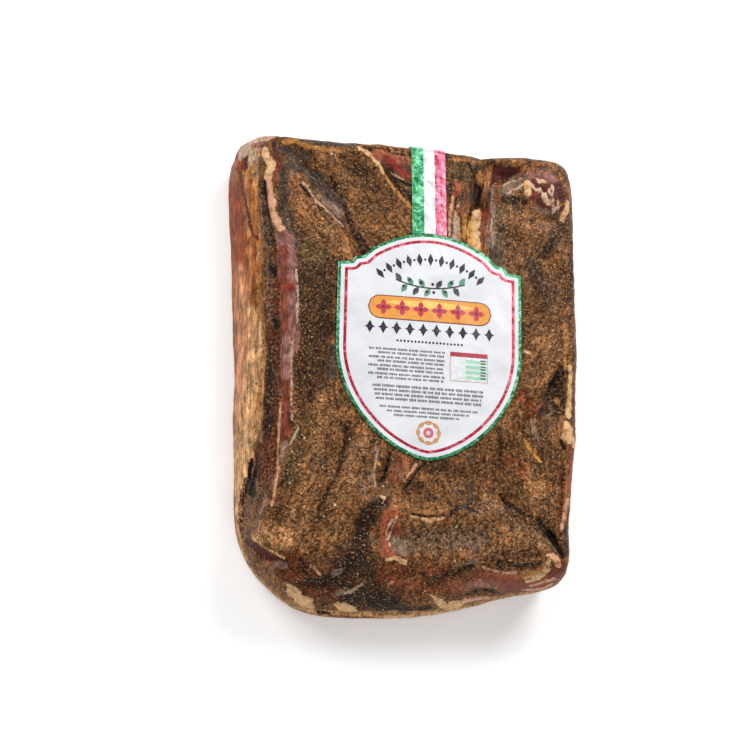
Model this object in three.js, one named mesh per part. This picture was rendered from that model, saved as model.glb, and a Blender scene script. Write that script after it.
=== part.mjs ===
// A whole speck: a square-cut, spice-crusted and smoked leg ham, lying on its rind.
// Millimetres, +Z up. The origin is the middle of the flat underside.
// +X is the right of the slab, +Y its far end and the label reads from -Y.
import * as THREE from 'three';
import { mergeVertices } from 'three/addons/utils/BufferGeometryUtils.js';

// Driving dimensions
const HALF_WIDTH = 115;
const HALF_LENGTH = 165;
const THICKNESS = 64;
const WIDEST_HEIGHT = 10; // where the rind bulges out the most
const UNDERSIDE_INSET = 12; // from the widest line in to the flat underside
const CORNER_SHARPNESS = 24; // a higher power gives squarer corners
const DOME_ACROSS = 4; // fall of the top face from its middle to its sides
const DOME_ALONG = 4; // fall from its middle to its ends
const LAYER_GAP = 0.3; // between the lean and the fat under it
const FAT_FLOOR = 17; // fat and rind under the middle of the lean
const BOX_SHIFT = { x: 0, y: -3.2 }; // brings the middle of the outline's box to the origin
const LABEL = {
  x: 13, // the middle of its straight shoulders' width
  y: 12,
  turn: -1.2, // degrees
  halfWidth: 63.5,
  archTop: 83, // heights above the label's middle, at the middle and at the ends of its arch
  archEnd: 69,
  archHalfWidth: 41,
  tip: 79, // below its middle
  gap: 0.6,
  thickness: 0.5,
};
const RIBBON = { x: 14, width: 24, gap: 0.6, thickness: 0.5, lowerEnd: 22 };

// The sides of the block: which way each faces (degrees from +X), how far it stands from
// the middle, how much it leans in towards the top, how much it tucks in at the foot and
// how widely it rolls over into the top face.
const SIDES = [
  { facing: 0, distance: 122, lean: 3, tuck: 6, roll: 8 },
  { facing: -8, distance: 126, lean: 3, tuck: 6, roll: 8 },
  { facing: 90, distance: 168, lean: 3, tuck: 6, roll: 8 },
  { facing: 180, distance: 116, lean: 20, tuck: 0, roll: 18 },
  { facing: -172, distance: 122, lean: 21, tuck: 0, roll: 10 },
  { facing: -134, distance: 166, lean: -2, tuck: 0, roll: 8 },
  { facing: -90, distance: 163.5, lean: 24, tuck: 0, roll: 8 },
  { facing: -70, distance: 163.5, lean: 4, tuck: 2, roll: 8 },
];

// Where the outline swells or sinks: bearing and spread in degrees, push at foot and at rim.
const SWELLS = [
  { bearing: 127, spread: 13, foot: 7, rim: 6 },
  { bearing: 72, spread: 10, foot: -4, rim: -4 },
  { bearing: 56, spread: 4, foot: -2, rim: -2 },
  { bearing: 178, spread: 12, foot: -2, rim: 0 },
  { bearing: -137, spread: 9, foot: 4, rim: 0 },
  { bearing: -129.5, spread: 7, foot: 0, rim: 18 },
  { bearing: -53, spread: 6, foot: 6, rim: 9 },
];

// Height of the seam between the fat and the lean, seen round the sides.
const SEAM_HEIGHTS = [
  { bearing: -180, height: 50 },
  { bearing: -160, height: 48 },
  { bearing: -148, height: 38 },
  { bearing: -136, height: 26 },
  { bearing: -120, height: 19 },
  { bearing: -50, height: 19 },
  { bearing: 0, height: 34 },
  { bearing: 50, height: 28 },
  { bearing: 90, height: 26 },
  { bearing: 118, height: 48 },
  { bearing: 180, height: 50 },
];

// Furrows and ridges of the top face: a path in X and Y, a height and a half width.
const TRAILS = [
  { name: 'fold at the far left', path: [[-80, 150], [-55, 127], [-48, 106], [-28, 76]], height: -5, width: 7 },
  { name: 'ridge beside that fold', path: [[-60, 112], [-44, 90], [-38, 74]], height: 3, width: 5 },
  { name: 'fat seam', path: [[-41, 155], [-20, 145], [-5, 120]], height: 2.5, width: 5 },
  { name: 'hollow beyond the seam', path: [[-13, 142], [-3, 128]], height: -5, width: 6 },
  { name: 'ridge right of the ribbon', path: [[40, 142], [39, 95]], height: 2.5, width: 4 },
  { name: 'cleft', path: [[53, 158], [51, 124]], height: -8, width: 5 },
  { name: 'cleft below the knob', path: [[54, 124], [53, 86]], height: -5, width: 5 },
  { name: 'hollow at the far right', path: [[58, 148], [76, 145]], height: -6, width: 7 },
  { name: 'moat of the muscle', path: [[80, 118], [88, 112], [104, 114]], height: -4, width: 5 },
  { name: 'slit at the near right', path: [[94, -114], [101, -124]], height: -6, width: 4 },
  { name: 'furrow below the label', path: [[-17, -59], [-22, -84]], height: -4, width: 6 },
  { name: 'fold left of it', path: [[-44, -44], [-40, -54], [-47, -72]], height: -4, width: 6 },
  { name: 'furrow on the right', path: [[42, -57], [41, -92]], height: -3, width: 7 },
  { name: 'long hollow on the right', path: [[78, 60], [84, -20], [70, -90]], height: -2, width: 16 },
  { name: 'ledge', path: [[-30, -100], [0, -107], [40, -102]], height: 2.5, width: 9 },
  { name: 'trough before the ledge', path: [[-40, -112], [-8, -122], [44, -118]], height: -2.5, width: 8 },
];

// Lumps and hollows of the top face, oval in plan.
const LUMPS = [
  { name: 'muscle at the far right', x: 98, y: 133, across: 17, along: 20, height: 5 },
  { name: 'muscle under the film', x: -7, y: 148, across: 10, along: 8, height: 3 },
  { name: 'fat patch', x: 46, y: 104, across: 5, along: 12, height: 2 },
  { name: 'knob', x: 50, y: 146, across: 5, along: 6, height: 4 },
  { name: 'swell at the left', x: -60, y: 20, across: 26, along: 60, height: 2 },
  { name: 'swell at the near left', x: -50, y: -105, across: 26, along: 24, height: 3 },
  { name: 'blob on the right edge', x: 108, y: -41, across: 7, along: 12, height: 3 },
  { name: 'hollow at the right edge', x: 100, y: -12, across: 12, along: 16, height: -4 },
  { name: 'near right corner', x: 92, y: -128, across: 12, along: 9, height: 3 },
];

// Unevenness of the top face and of the side walls: sizes of the lumps and their heights.
const FACE_LUMPS = [
  { size: 34, height: 4 },
  { size: 15, height: 2.4 },
];
const WALL_LUMPS = [
  { size: 38, height: 3 },
  { size: 16, height: 1.6 },
];

// Fineness of the solids
const RIM_POINTS = 160;
const SEAM_POINTS = 80;
const FAT_POINTS = 80;
const FACE_RINGS = 20;
const SEAM_RINGS = 5;
const LEAN_WALL_RINGS = 5;
const FAT_WALL_RINGS = 6;
const LABEL_RINGS = 5;
const RIBBON_STEPS = 26;

const { abs, atan2, cos, exp, floor, hypot, max, min, PI, round, sin, sqrt, tan } = Math;
const radians = THREE.MathUtils.degToRad;
const lerp = THREE.MathUtils.lerp;
const smoothstep = THREE.MathUtils.smoothstep;

// Unit direction of a point part of the way round, counted from +X towards +Y. The points
// are spread as on an ellipse, so that they are about evenly spaced along the sides.
function direction(share) {
  const turn = 2 * PI * share;
  const along = new THREE.Vector2(HALF_WIDTH * cos(turn), HALF_LENGTH * sin(turn));
  return along.normalize();
}

// How far the side of the slab is from its axis in a direction u. s runs from 0 at the
// widest line near the foot to 1 at the rim of the top face.
function reach(u, s) {
  const rolled = 1 - sqrt(1 - s ** 6);
  let total = 0;
  for (const side of SIDES) {
    const inset = side.lean * s ** 1.5 + side.tuck * (1 - s) ** 2 + side.roll * rolled;
    const distance = side.distance - inset;
    const facing = radians(side.facing);
    const share = max(cos(facing) * u.x + sin(facing) * u.y, 0) / distance;
    total += share ** CORNER_SHARPNESS;
  }
  let result = total ** (-1 / CORNER_SHARPNESS);
  const bearing = THREE.MathUtils.radToDeg(atan2(u.y, u.x));
  for (const swell of SWELLS) {
    const off = THREE.MathUtils.euclideanModulo(bearing - swell.bearing + 180, 360) - 180;
    result += lerp(swell.foot, swell.rim, s) * exp(-((off / swell.spread) ** 2));
  }
  return result;
}

// Seam height at a bearing, blended smoothly between the heights stated above.
function seamHeight(u) {
  const bearing = THREE.MathUtils.radToDeg(atan2(u.y, u.x));
  for (let i = 1; i < SEAM_HEIGHTS.length; i += 1) {
    const before = SEAM_HEIGHTS[i - 1];
    const after = SEAM_HEIGHTS[i];
    if (bearing <= after.bearing) {
      return lerp(before.height, after.height, smoothstep(bearing, before.bearing, after.bearing));
    }
  }
  return SEAM_HEIGHTS[0].height;
}

// Value noise: a random number from -0.5 to 0.5 at each whole x and y, blended between them.
function noise(x, y) {
  const random = (i, j) => THREE.MathUtils.euclideanModulo(sin(i * 127.1 + j * 311.7) * 43758.5453, 1);
  const [i, j] = [floor(x), floor(y)];
  const [u, v] = [smoothstep(x - i, 0, 1), smoothstep(y - j, 0, 1)];
  const near = lerp(random(i, j), random(i + 1, j), u);
  const far = lerp(random(i, j + 1), random(i + 1, j + 1), u);
  return lerp(near, far, v) - 0.5;
}

function unevenness(x, y, lumps) {
  return lumps.reduce((sum, lump) => sum + lump.height * noise(x / lump.size, y / lump.size), 0);
}

function distanceToPath(x, y, path) {
  let nearest = Infinity;
  for (let i = 1; i < path.length; i += 1) {
    const [ax, ay] = path[i - 1];
    const [bx, by] = path[i];
    const along = ((x - ax) * (bx - ax) + (y - ay) * (by - ay)) / ((bx - ax) ** 2 + (by - ay) ** 2);
    const t = THREE.MathUtils.clamp(along, 0, 1);
    nearest = min(nearest, hypot(x - lerp(ax, bx, t), y - lerp(ay, by, t)));
  }
  return nearest;
}

// Height of the label's arched top edge above its middle line.
function archHeight(across) {
  return LABEL.archTop - (LABEL.archTop - LABEL.archEnd) * (across / LABEL.archHalfWidth) ** 2;
}

// The label's outline is symmetric: half of it, from the top of its arch down to its tip.
function labelHalfOutline() {
  const SHOULDER_STEPS = [[46, 63.5], [52, 62.5], [54, 59], [LABEL.halfWidth, 58]];
  const ARCH_STEPS = 6;
  const POINT_STEPS = 14;
  const BULGE = 1.6; // 2 would make the lower half an ellipse, less draws it to a point
  const points = [];
  for (let i = 0; i <= ARCH_STEPS; i += 1) {
    const x = (LABEL.archHalfWidth * i) / ARCH_STEPS;
    points.push(new THREE.Vector2(x, archHeight(x)));
  }
  for (const [x, y] of SHOULDER_STEPS) {
    points.push(new THREE.Vector2(x, y));
  }
  for (let i = 0; i <= POINT_STEPS; i += 1) {
    const drop = sin((PI / 2) * (i / POINT_STEPS));
    const x = LABEL.halfWidth * (1 - drop ** 2) ** (1 / BULGE);
    points.push(new THREE.Vector2(x, -LABEL.tip * drop));
  }
  return points;
}

// The whole outline, anticlockwise from the top of the arch.
function labelOutline() {
  const half = labelHalfOutline();
  const left = half.map((p) => new THREE.Vector2(-p.x, p.y));
  return [...left, ...half.slice(1, -1).reverse()];
}

function labelToSlab(p) {
  const turned = p.clone().rotateAround(new THREE.Vector2(), radians(LABEL.turn));
  return turned.add(new THREE.Vector2(LABEL.x, LABEL.y));
}

// 1 where the label and the ribbon press the crust smooth, 0 away from them.
function pressed(x, y) {
  const CLEAR = 8;
  const FADE = 14;
  const local = new THREE.Vector2(x - LABEL.x, y - LABEL.y);
  local.rotateAround(new THREE.Vector2(), -radians(LABEL.turn));
  const height = local.y > 0 ? LABEL.archTop : LABEL.tip;
  const power = local.y > 0 ? 6 : 2;
  const wide = (abs(local.x) / LABEL.halfWidth) ** (local.y > 0 ? 6 : 1.6);
  const inside = (wide + (abs(local.y) / height) ** power) ** (1 / power);
  const beyondLabel = (inside - 1) * LABEL.halfWidth;
  const besideRibbon = abs(x - RIBBON.x) - RIBBON.width / 2;
  const beyondRibbon = y > LABEL.y ? besideRibbon : Infinity;
  return 1 - smoothstep(min(beyondLabel, beyondRibbon), CLEAR, FADE);
}

function domeHeight(x, y) {
  return THICKNESS - DOME_ACROSS * (x / HALF_WIDTH) ** 2 - DOME_ALONG * (y / HALF_LENGTH) ** 2;
}

function relief(x, y) {
  let height = 0;
  for (const trail of TRAILS) {
    height += trail.height * exp(-((distanceToPath(x, y, trail.path) / trail.width) ** 2));
  }
  for (const lump of LUMPS) {
    const off = ((x - lump.x) / lump.across) ** 2 + ((y - lump.y) / lump.along) ** 2;
    height += lump.height * exp(-off);
  }
  height += unevenness(x, y, FACE_LUMPS);
  return height * (1 - pressed(x, y));
}

// A point of the side wall at height z. The wall leans, rolls over at the rim and sinks
// into a groove along the seam.
function wallPoint(u, z) {
  const GROOVE_DEPTH = 4;
  const GROOVE_WIDTH = 2.5;
  const rimReach = reach(u, 1);
  const rimHeight = domeHeight(u.x * rimReach, u.y * rimReach);
  const s = THREE.MathUtils.clamp((z - WIDEST_HEIGHT) / (rimHeight - WIDEST_HEIGHT), 0, 1);
  const groove = GROOVE_DEPTH * exp(-(((z - seamHeight(u)) / GROOVE_WIDTH) ** 2));
  const around = rimReach * (u.x - u.y); // runs along each side, with no step at its ends
  const lumps = unevenness(around, z, WALL_LUMPS) * 4 * s * (1 - s) * (1 - pressed(u.x * rimReach, u.y * rimReach));
  const distance = reach(u, s) - groove + lumps;
  return new THREE.Vector3(u.x * distance, u.y * distance, z);
}

// A ring of points: count points made by a function of the direction.
function ring(count, place) {
  return Array.from({ length: count }, (unused, i) => place(direction(i / count)));
}

// A closed skin through a stack of rings, listed from the underside up. Neighbouring rings
// may differ in their number of points, and a ring of one point closes an end.
function skin(rings) {
  const positions = rings.flat().flatMap((p) => [p.x, p.y, p.z]);
  const starts = [];
  let count = 0;
  for (const points of rings) {
    starts.push(count);
    count += points.length;
  }
  const triangles = [];
  for (let k = 1; k < rings.length; k += 1) {
    const low = rings[k - 1].length;
    const high = rings[k].length;
    const lowPoint = (i) => starts[k - 1] + (i % low);
    const highPoint = (j) => starts[k] + (j % high);
    const span = (i, j) => rings[k - 1][i % low].distanceTo(rings[k][j % high]);
    let i = 0;
    let j = 0;
    while (i < low || j < high) {
      // Step along the ring that gives the shorter edge across.
      const stepLow = j >= high || (i < low && span(i + 1, j) < span(i, j + 1));
      if (stepLow && low > 1) {
        triangles.push(lowPoint(i), lowPoint(i + 1), highPoint(j));
      } else if (!stepLow && high > 1) {
        triangles.push(lowPoint(i), highPoint(j + 1), highPoint(j));
      }
      i += stepLow ? 1 : 0;
      j += stepLow ? 0 : 1;
    }
  }
  const geometry = new THREE.BufferGeometry();
  geometry.setAttribute('position', new THREE.Float32BufferAttribute(positions, 3));
  geometry.setIndex(triangles);
  return mergeVertices(geometry, 1e-4);
}

// The surface where the lean lies in the fat: a dish that rises to the seam at the sides.
function seamSurfaceRings(lift) {
  const rings = [[new THREE.Vector3(0, 0, FAT_FLOOR + lift)]];
  for (let k = 1; k <= SEAM_RINGS; k += 1) {
    const m = k / SEAM_RINGS;
    const count = max(8, round((SEAM_POINTS * m) / 8) * 8);
    rings.push(
      ring(count, (u) => {
        const edge = wallPoint(u, seamHeight(u));
        return new THREE.Vector3(edge.x * m, edge.y * m, lerp(FAT_FLOOR, edge.z, m ** 5) + lift);
      }),
    );
  }
  return rings;
}

function leanMeat() {
  const rings = seamSurfaceRings(LAYER_GAP);
  for (let k = 1; k <= LEAN_WALL_RINGS; k += 1) {
    // The rings crowd towards the rim, where the wall rolls over.
    const share = 1 - (1 - k / LEAN_WALL_RINGS) ** 1.7;
    rings.push(
      ring(RIM_POINTS, (u) => {
        const rimReach = reach(u, 1);
        const rimHeight = domeHeight(u.x * rimReach, u.y * rimReach);
        const lower = seamHeight(u) + LAYER_GAP;
        const p = wallPoint(u, lerp(lower, rimHeight, share));
        p.z += relief(p.x, p.y) * share ** 3;
        return p;
      }),
    );
  }
  for (let k = FACE_RINGS - 1; k >= 0; k -= 1) {
    const m = k / FACE_RINGS;
    const count = k === 0 ? 1 : max(8, round((RIM_POINTS * m) / 8) * 8);
    rings.push(
      ring(count, (u) => {
        const distance = m * reach(u, 1);
        const [x, y] = [u.x * distance, u.y * distance];
        return new THREE.Vector3(x, y, domeHeight(x, y) + relief(x, y));
      }),
    );
  }
  return skin(rings);
}

function fatLayer() {
  const REST_SPREAD = 0.6; // the large triangles in the middle of the underside
  const foot = (u, m, z) => {
    const distance = (reach(u, 0) - UNDERSIDE_INSET * (1 - z / WIDEST_HEIGHT) ** 2) * m;
    return new THREE.Vector3(u.x * distance, u.y * distance, z);
  };
  const rings = [
    [new THREE.Vector3(20, 15, 0)],
    ring(4, (u) => foot(u, REST_SPREAD, 0)),
    ring(FAT_POINTS, (u) => foot(u, 1, 0)),
    ring(FAT_POINTS, (u) => foot(u, 1, WIDEST_HEIGHT * 0.35)),
  ];
  const LIP = 2; // the outer lip of the fat stands this far below the seam
  for (let k = 0; k < FAT_WALL_RINGS; k += 1) {
    const share = k / (FAT_WALL_RINGS - 1);
    rings.push(ring(FAT_POINTS, (u) => wallPoint(u, lerp(WIDEST_HEIGHT, seamHeight(u) - LIP, share))));
  }
  return skin([...rings, ...seamSurfaceRings(0).reverse()]);
}

// The label: a thin sheet that lies on the dome of the top face.
function shieldLabel() {
  const outline = labelOutline();
  const sheet = (m, lift) => {
    const points = outline.map((p) => labelToSlab(p.clone().multiplyScalar(m)));
    return points.map((p) => new THREE.Vector3(p.x, p.y, domeHeight(p.x, p.y) + lift));
  };
  const middle = (lift) => [sheet(0, lift)[0]];
  const rings = [middle(LABEL.gap)];
  const shares = Array.from({ length: LABEL_RINGS }, (unused, k) => (k + 1) / LABEL_RINGS);
  for (const m of shares) {
    rings.push(sheet(m, LABEL.gap));
  }
  for (const m of shares.reverse()) {
    rings.push(sheet(m, LABEL.gap + LABEL.thickness));
  }
  rings.push(middle(LABEL.gap + LABEL.thickness));
  return skin(rings);
}

// The line that the ribbon follows at one X: over the top face from the label's edge to the
// far rim, over the rim and down the far wall. Each point has the surface's normal.
function ribbonLine(x) {
  const FACE_STEPS = 12;
  const BUTT_GAP = 1; // between the label's edge and the end of the ribbon
  const across = x - LABEL.x;
  const labelEdge = LABEL.y + archHeight(across) + across * tan(radians(LABEL.turn));
  const onWall = (s) => {
    let y = HALF_LENGTH;
    for (let i = 0; i < 4; i += 1) {
      y = sqrt(reach(new THREE.Vector2(x, y).normalize(), s) ** 2 - x ** 2);
    }
    return y;
  };
  const rimY = onWall(1);
  const rimHeight = domeHeight(x, rimY);
  const line = [];
  for (let i = 0; i < FACE_STEPS; i += 1) {
    const y = lerp(labelEdge + BUTT_GAP, rimY, i / FACE_STEPS);
    line.push(new THREE.Vector2(y, domeHeight(x, y)));
  }
  const lowest = (RIBBON.lowerEnd - WIDEST_HEIGHT) / (rimHeight - WIDEST_HEIGHT);
  for (let i = 0; i <= RIBBON_STEPS - FACE_STEPS; i += 1) {
    const share = i / (RIBBON_STEPS - FACE_STEPS);
    const s = lerp(1, lowest, share ** 2.2);
    line.push(new THREE.Vector2(onWall(s), lerp(WIDEST_HEIGHT, rimHeight, s)));
  }
  return line.map((point, i) => {
    const before = line[max(i - 1, 0)];
    const after = line[min(i + 1, line.length - 1)];
    const along = after.clone().sub(before).normalize();
    return { point, normal: new THREE.Vector2(-along.y, along.x) };
  });
}

function ribbon() {
  const columns = [0, 1, 2, 3].map((i) => RIBBON.x - RIBBON.width / 2 + (RIBBON.width * i) / 3);
  const lines = columns.map(ribbonLine);
  const place = (column, step, lift) => {
    const { point, normal } = lines[column][step];
    return new THREE.Vector3(columns[column], point.x + normal.x * lift, point.y + normal.y * lift);
  };
  const order = [0, 1, 2, 3];
  const sections = lines[0].map((unused, step) => [
    ...order.map((column) => place(column, step, RIBBON.gap + RIBBON.thickness)),
    ...order.toReversed().map((column) => place(column, step, RIBBON.gap)),
  ]);
  const centre = (section) => {
    const sum = section.reduce((total, p) => total.add(p), new THREE.Vector3());
    return [sum.divideScalar(section.length)];
  };
  return skin([centre(sections[0]), ...sections, centre(sections.at(-1))]);
}

function mesh(name, geometry, color, roughness, metalness = 0) {
  const material = new THREE.MeshStandardMaterial({ color, roughness, metalness });
  const result = new THREE.Mesh(geometry, material);
  result.name = name;
  return result;
}

const speck = new THREE.Group();
speck.position.set(BOX_SHIFT.x, BOX_SHIFT.y, 0);
speck.add(mesh('lean_meat', leanMeat(), '#5d3a1f', 0.55));
speck.add(mesh('fat_layer', fatLayer(), '#b9793f', 0.5));
speck.add(mesh('shield_label', shieldLabel(), '#ecebf0', 0.4));
speck.add(mesh('striped_ribbon', ribbon(), '#e9eef0', 0.3));

export default speck;
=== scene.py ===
# %% [markdown]
# # A whole smoked speck
# The object is a square-cut leg ham: lean meat with a crust of ground spice lies in a dish of
# fat and rind, a shield-shaped label and a striped foil ribbon lie on top, and a tight clear
# film holds it all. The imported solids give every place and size. This lesson keeps the form
# of those solids, because it works it out again from the same named dimensions, and adds
# what is too fine for them: crumbs of spice, creases, wrinkles in the foil, and colour.
#
# Lengths are written in millimetres and turned into Blender's metres when a mesh is made.

# %% Load the frame and keep its size
import math

import bpy
import numpy as np
from mathutils import Matrix


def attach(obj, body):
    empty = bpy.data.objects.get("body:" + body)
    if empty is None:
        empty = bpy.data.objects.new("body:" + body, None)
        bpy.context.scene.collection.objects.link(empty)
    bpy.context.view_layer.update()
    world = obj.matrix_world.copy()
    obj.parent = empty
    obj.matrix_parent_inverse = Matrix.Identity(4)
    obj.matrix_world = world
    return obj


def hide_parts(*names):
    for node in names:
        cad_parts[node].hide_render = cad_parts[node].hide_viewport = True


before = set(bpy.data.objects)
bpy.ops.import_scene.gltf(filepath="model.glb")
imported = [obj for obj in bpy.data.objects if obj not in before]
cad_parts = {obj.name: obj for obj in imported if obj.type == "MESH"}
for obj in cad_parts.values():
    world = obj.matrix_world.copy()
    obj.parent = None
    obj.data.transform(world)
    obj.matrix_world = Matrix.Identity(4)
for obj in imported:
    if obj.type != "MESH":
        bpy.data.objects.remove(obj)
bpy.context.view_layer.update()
MM = 0.001
BOX_SHIFT = np.array([0.0, -3.2, 0.0])  # the solids are moved by this much to centre their box
BLOCK_MIDDLE = np.array([0.0, 0.0, 30.0])

# %% [markdown]
# ## Camera
# The camera looks down on the label from 1.5 m, a little from the near side and from the
# left. A long lens keeps the sides of the block nearly parallel. The direction is given by
# two tilts, which are easier to judge on a picture than three angles.

# %% Camera
TILT_TO_LEFT = math.radians(9.0)
TILT_TO_NEAR = math.radians(19.0)
CAMERA_DISTANCE = 1.5
LENS = 105.4
SENSOR_WIDTH = 36.0
aim = np.array([-0.019, -0.0012, 0.032])
toward_camera = np.array([-math.tan(TILT_TO_LEFT), -math.tan(TILT_TO_NEAR), 1.0])
toward_camera /= np.linalg.norm(toward_camera)
camera_up = np.array([0.0, 1.0, 0.0]) - toward_camera[1] * toward_camera
camera_up /= np.linalg.norm(camera_up)
camera_right = np.cross(camera_up, toward_camera)

camera_data = bpy.data.cameras.new("camera")
camera_data.lens = LENS
camera_data.sensor_width = SENSOR_WIDTH
camera = bpy.data.objects.new("camera", camera_data)
bpy.context.scene.collection.objects.link(camera)
turn = Matrix([camera_right, camera_up, toward_camera]).transposed().to_4x4()
camera.matrix_world = Matrix.Translation(aim + CAMERA_DISTANCE * toward_camera) @ turn
bpy.context.scene.camera = camera
print("camera at", [round(v, 3) for v in camera.matrix_world.translation])

# %% [markdown]
# ## Light and floor
# The object lies on a white table under soft light. An even white world fills the shadows.
# Two large lamps from the far side, high up, give the short shadow at the near side and the
# small glints on the film, and a weak one lights the near wall. The Standard view transform
# shows colours as they are set.

# %% Light
WORLD_LIGHT = 0.30
SOFTBOX_WIDTH = 0.9
# place in metres, power in watts
LAMPS = {
    "far right light": ((0.9, 1.1, 1.3), 25.0),
    "far left light": ((-1.2, 0.9, 1.2), 20.0),
    "near light": ((0.2, -1.5, 1.2), 7.0),
}
scene = bpy.context.scene
scene.view_settings.view_transform = "Standard"
world = bpy.data.worlds.new("white room")
world.use_nodes = True
world.node_tree.nodes["Background"].inputs["Color"].default_value = (1.0, 1.0, 1.0, 1.0)
world.node_tree.nodes["Background"].inputs["Strength"].default_value = WORLD_LIGHT
scene.world = world


def softbox(name, place, watts):
    """A square lamp at a place, turned towards the middle of the object."""
    data = bpy.data.lights.new(name, "AREA")
    data.energy = watts
    data.size = SOFTBOX_WIDTH
    lamp = bpy.data.objects.new(name, data)
    lamp.location = place
    lamp.rotation_euler = (-lamp.location).to_track_quat("-Z", "Y").to_euler()
    scene.collection.objects.link(lamp)


for name, (place, watts) in LAMPS.items():
    softbox(name, place, watts)
print(len(LAMPS), "lamps")

# %% Floor
FLOOR_SIZE = 6.0
FLOOR_WHITE = 0.93
FLOOR_GLOW = 0.26
floor_mesh = bpy.data.meshes.new("floor")
half = FLOOR_SIZE / 2
floor_corners = [(-half, -half, 0), (half, -half, 0), (half, half, 0), (-half, half, 0)]
floor_mesh.from_pydata(floor_corners, [], [(0, 1, 2, 3)])
floor = bpy.data.objects.new("floor", floor_mesh)
scene.collection.objects.link(floor)
floor_material = bpy.data.materials.new("white table")
floor_material.use_nodes = True
floor_shader = floor_material.node_tree.nodes["Principled BSDF"]
floor_shader.inputs["Base Color"].default_value = (FLOOR_WHITE, FLOOR_WHITE, FLOOR_WHITE, 1.0)
floor_shader.inputs["Roughness"].default_value = 0.9
floor_shader.inputs["Specular IOR Level"].default_value = 0.1
floor_shader.inputs["Emission Color"].default_value = (1.0, 1.0, 1.0, 1.0)
floor_shader.inputs["Emission Strength"].default_value = FLOOR_GLOW
floor_mesh.materials.append(floor_material)

# %% [markdown]
# ## Form of the block
# The block is a rounded box whose sides lean and roll over into the top face. Its outline in
# a direction is a smooth minimum of the distances to eight sides, plus a few swells. These
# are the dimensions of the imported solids, so the new surfaces lie where the solids are.

# %% Form of the block
HALF_WIDTH = 115.0
HALF_LENGTH = 165.0
THICKNESS = 64.0
WIDEST_HEIGHT = 10.0
UNDERSIDE_INSET = 12.0
CORNER_SHARPNESS = 24
DOME_ACROSS = 4.0
DOME_ALONG = 4.0
LAYER_GAP = 0.3
FAT_FLOOR = 17.0
SEAM_LIP = 2.0
SEAM_GROOVE_DEPTH = 4.0
SEAM_GROOVE_HALF_WIDTH = 2.5

# facing (degrees), distance, lean, tuck at the foot, roll at the rim
SIDES = [
    (0, 122, 3, 6, 8), (-8, 126, 3, 6, 8), (90, 168, 3, 6, 8), (180, 116, 20, 0, 18),
    (-172, 122, 21, 0, 10), (-134, 166, -2, 0, 8), (-90, 163.5, 24, 0, 8), (-70, 163.5, 4, 2, 8),
]
# bearing and spread (degrees), push at the foot and at the rim
SWELLS = [
    (127, 13, 7, 6), (72, 10, -4, -4), (56, 4, -2, -2), (178, 12, -2, 0),
    (-137, 9, 4, 0), (-129.5, 7, 0, 18), (-53, 6, 6, 9),
]
# bearing (degrees) and height of the seam between the lean and the fat
SEAM_HEIGHTS = [
    (-180, 50), (-160, 48), (-148, 38), (-136, 26), (-120, 19), (-50, 19),
    (0, 34), (50, 28), (90, 26), (118, 48), (180, 50),
]


def smooth(t):
    """The smooth step 3t² − 2t³ of t cut off to 0..1."""
    t = np.clip(t, 0.0, 1.0)
    return t * t * (3.0 - 2.0 * t)


def directions(count):
    """Unit vectors all the way round, spread as on an ellipse as wide and long as the block."""
    turn = 2.0 * np.pi * np.arange(count) / count
    along = np.stack([HALF_WIDTH * np.cos(turn), HALF_LENGTH * np.sin(turn)], -1)
    return along / np.linalg.norm(along, axis=-1, keepdims=True)


def reach(u, s):
    """How far the side is from the axis in direction u: the p-norm minimum over the sides of
    distance / cos(angle to the side), plus bell-shaped swells. s is 0 at the foot, 1 at the rim."""
    rolled = 1.0 - np.sqrt(np.maximum(1.0 - s**6, 0.0))
    total = 0.0
    for facing, distance, lean, tuck, roll in SIDES:
        angle = math.radians(facing)
        stands = distance - lean * s**1.5 - tuck * (1.0 - s) ** 2 - roll * rolled
        share = np.maximum(math.cos(angle) * u[..., 0] + math.sin(angle) * u[..., 1], 0.0) / stands
        total = total + share**CORNER_SHARPNESS
    result = total ** (-1.0 / CORNER_SHARPNESS)
    bearing = np.degrees(np.arctan2(u[..., 1], u[..., 0]))
    for at, spread, foot, rim in SWELLS:
        off = (bearing - at + 180.0) % 360.0 - 180.0
        result = result + (foot + (rim - foot) * s) * np.exp(-((off / spread) ** 2))
    return result


def seam_height(u):
    """Height of the seam at a bearing: a smooth step from one stated height to the next."""
    bearing = np.degrees(np.arctan2(u[..., 1], u[..., 0]))
    at, height = np.array(SEAM_HEIGHTS, float).T
    k = np.clip(np.searchsorted(at, bearing) - 1, 0, len(at) - 2)
    return height[k] + (height[k + 1] - height[k]) * smooth((bearing - at[k]) / (at[k + 1] - at[k]))


def dome_height(x, y):
    """Height of the smooth top face: the thickness less a parabola across and one along."""
    return THICKNESS - DOME_ACROSS * (x / HALF_WIDTH) ** 2 - DOME_ALONG * (y / HALF_LENGTH) ** 2


rim_points = directions(840)
print("widest half width", round(float(reach(rim_points, 0.0)[0]), 1), "mm to the right")

# %% [markdown]
# ## Unevenness
# A cured leg is never smooth. Value noise gives each whole step in the plane a random number
# and blends between them; the solids use it for their large lumps, so the same function is
# repeated here. For finer crumbs the noise is taken in space, so that it runs on over every
# edge without a break.

# %% Unevenness
FACE_LUMPS = [(34.0, 4.0), (15.0, 2.4)]  # size and height
WALL_LUMPS = [(38.0, 3.0), (16.0, 1.6)]


def plane_noise(x, y):
    """Value noise from −0.5 to 0.5: random numbers at whole x and y, with smooth steps between."""
    def random(i, j):
        return np.mod(np.sin(i * 127.1 + j * 311.7) * 43758.5453, 1.0)
    i, j = np.floor(x), np.floor(y)
    u, v = smooth(x - i), smooth(y - j)
    near = random(i, j) + (random(i + 1, j) - random(i, j)) * u
    far = random(i, j + 1) + (random(i + 1, j + 1) - random(i, j + 1)) * u
    return near + (far - near) * v - 0.5


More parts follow.
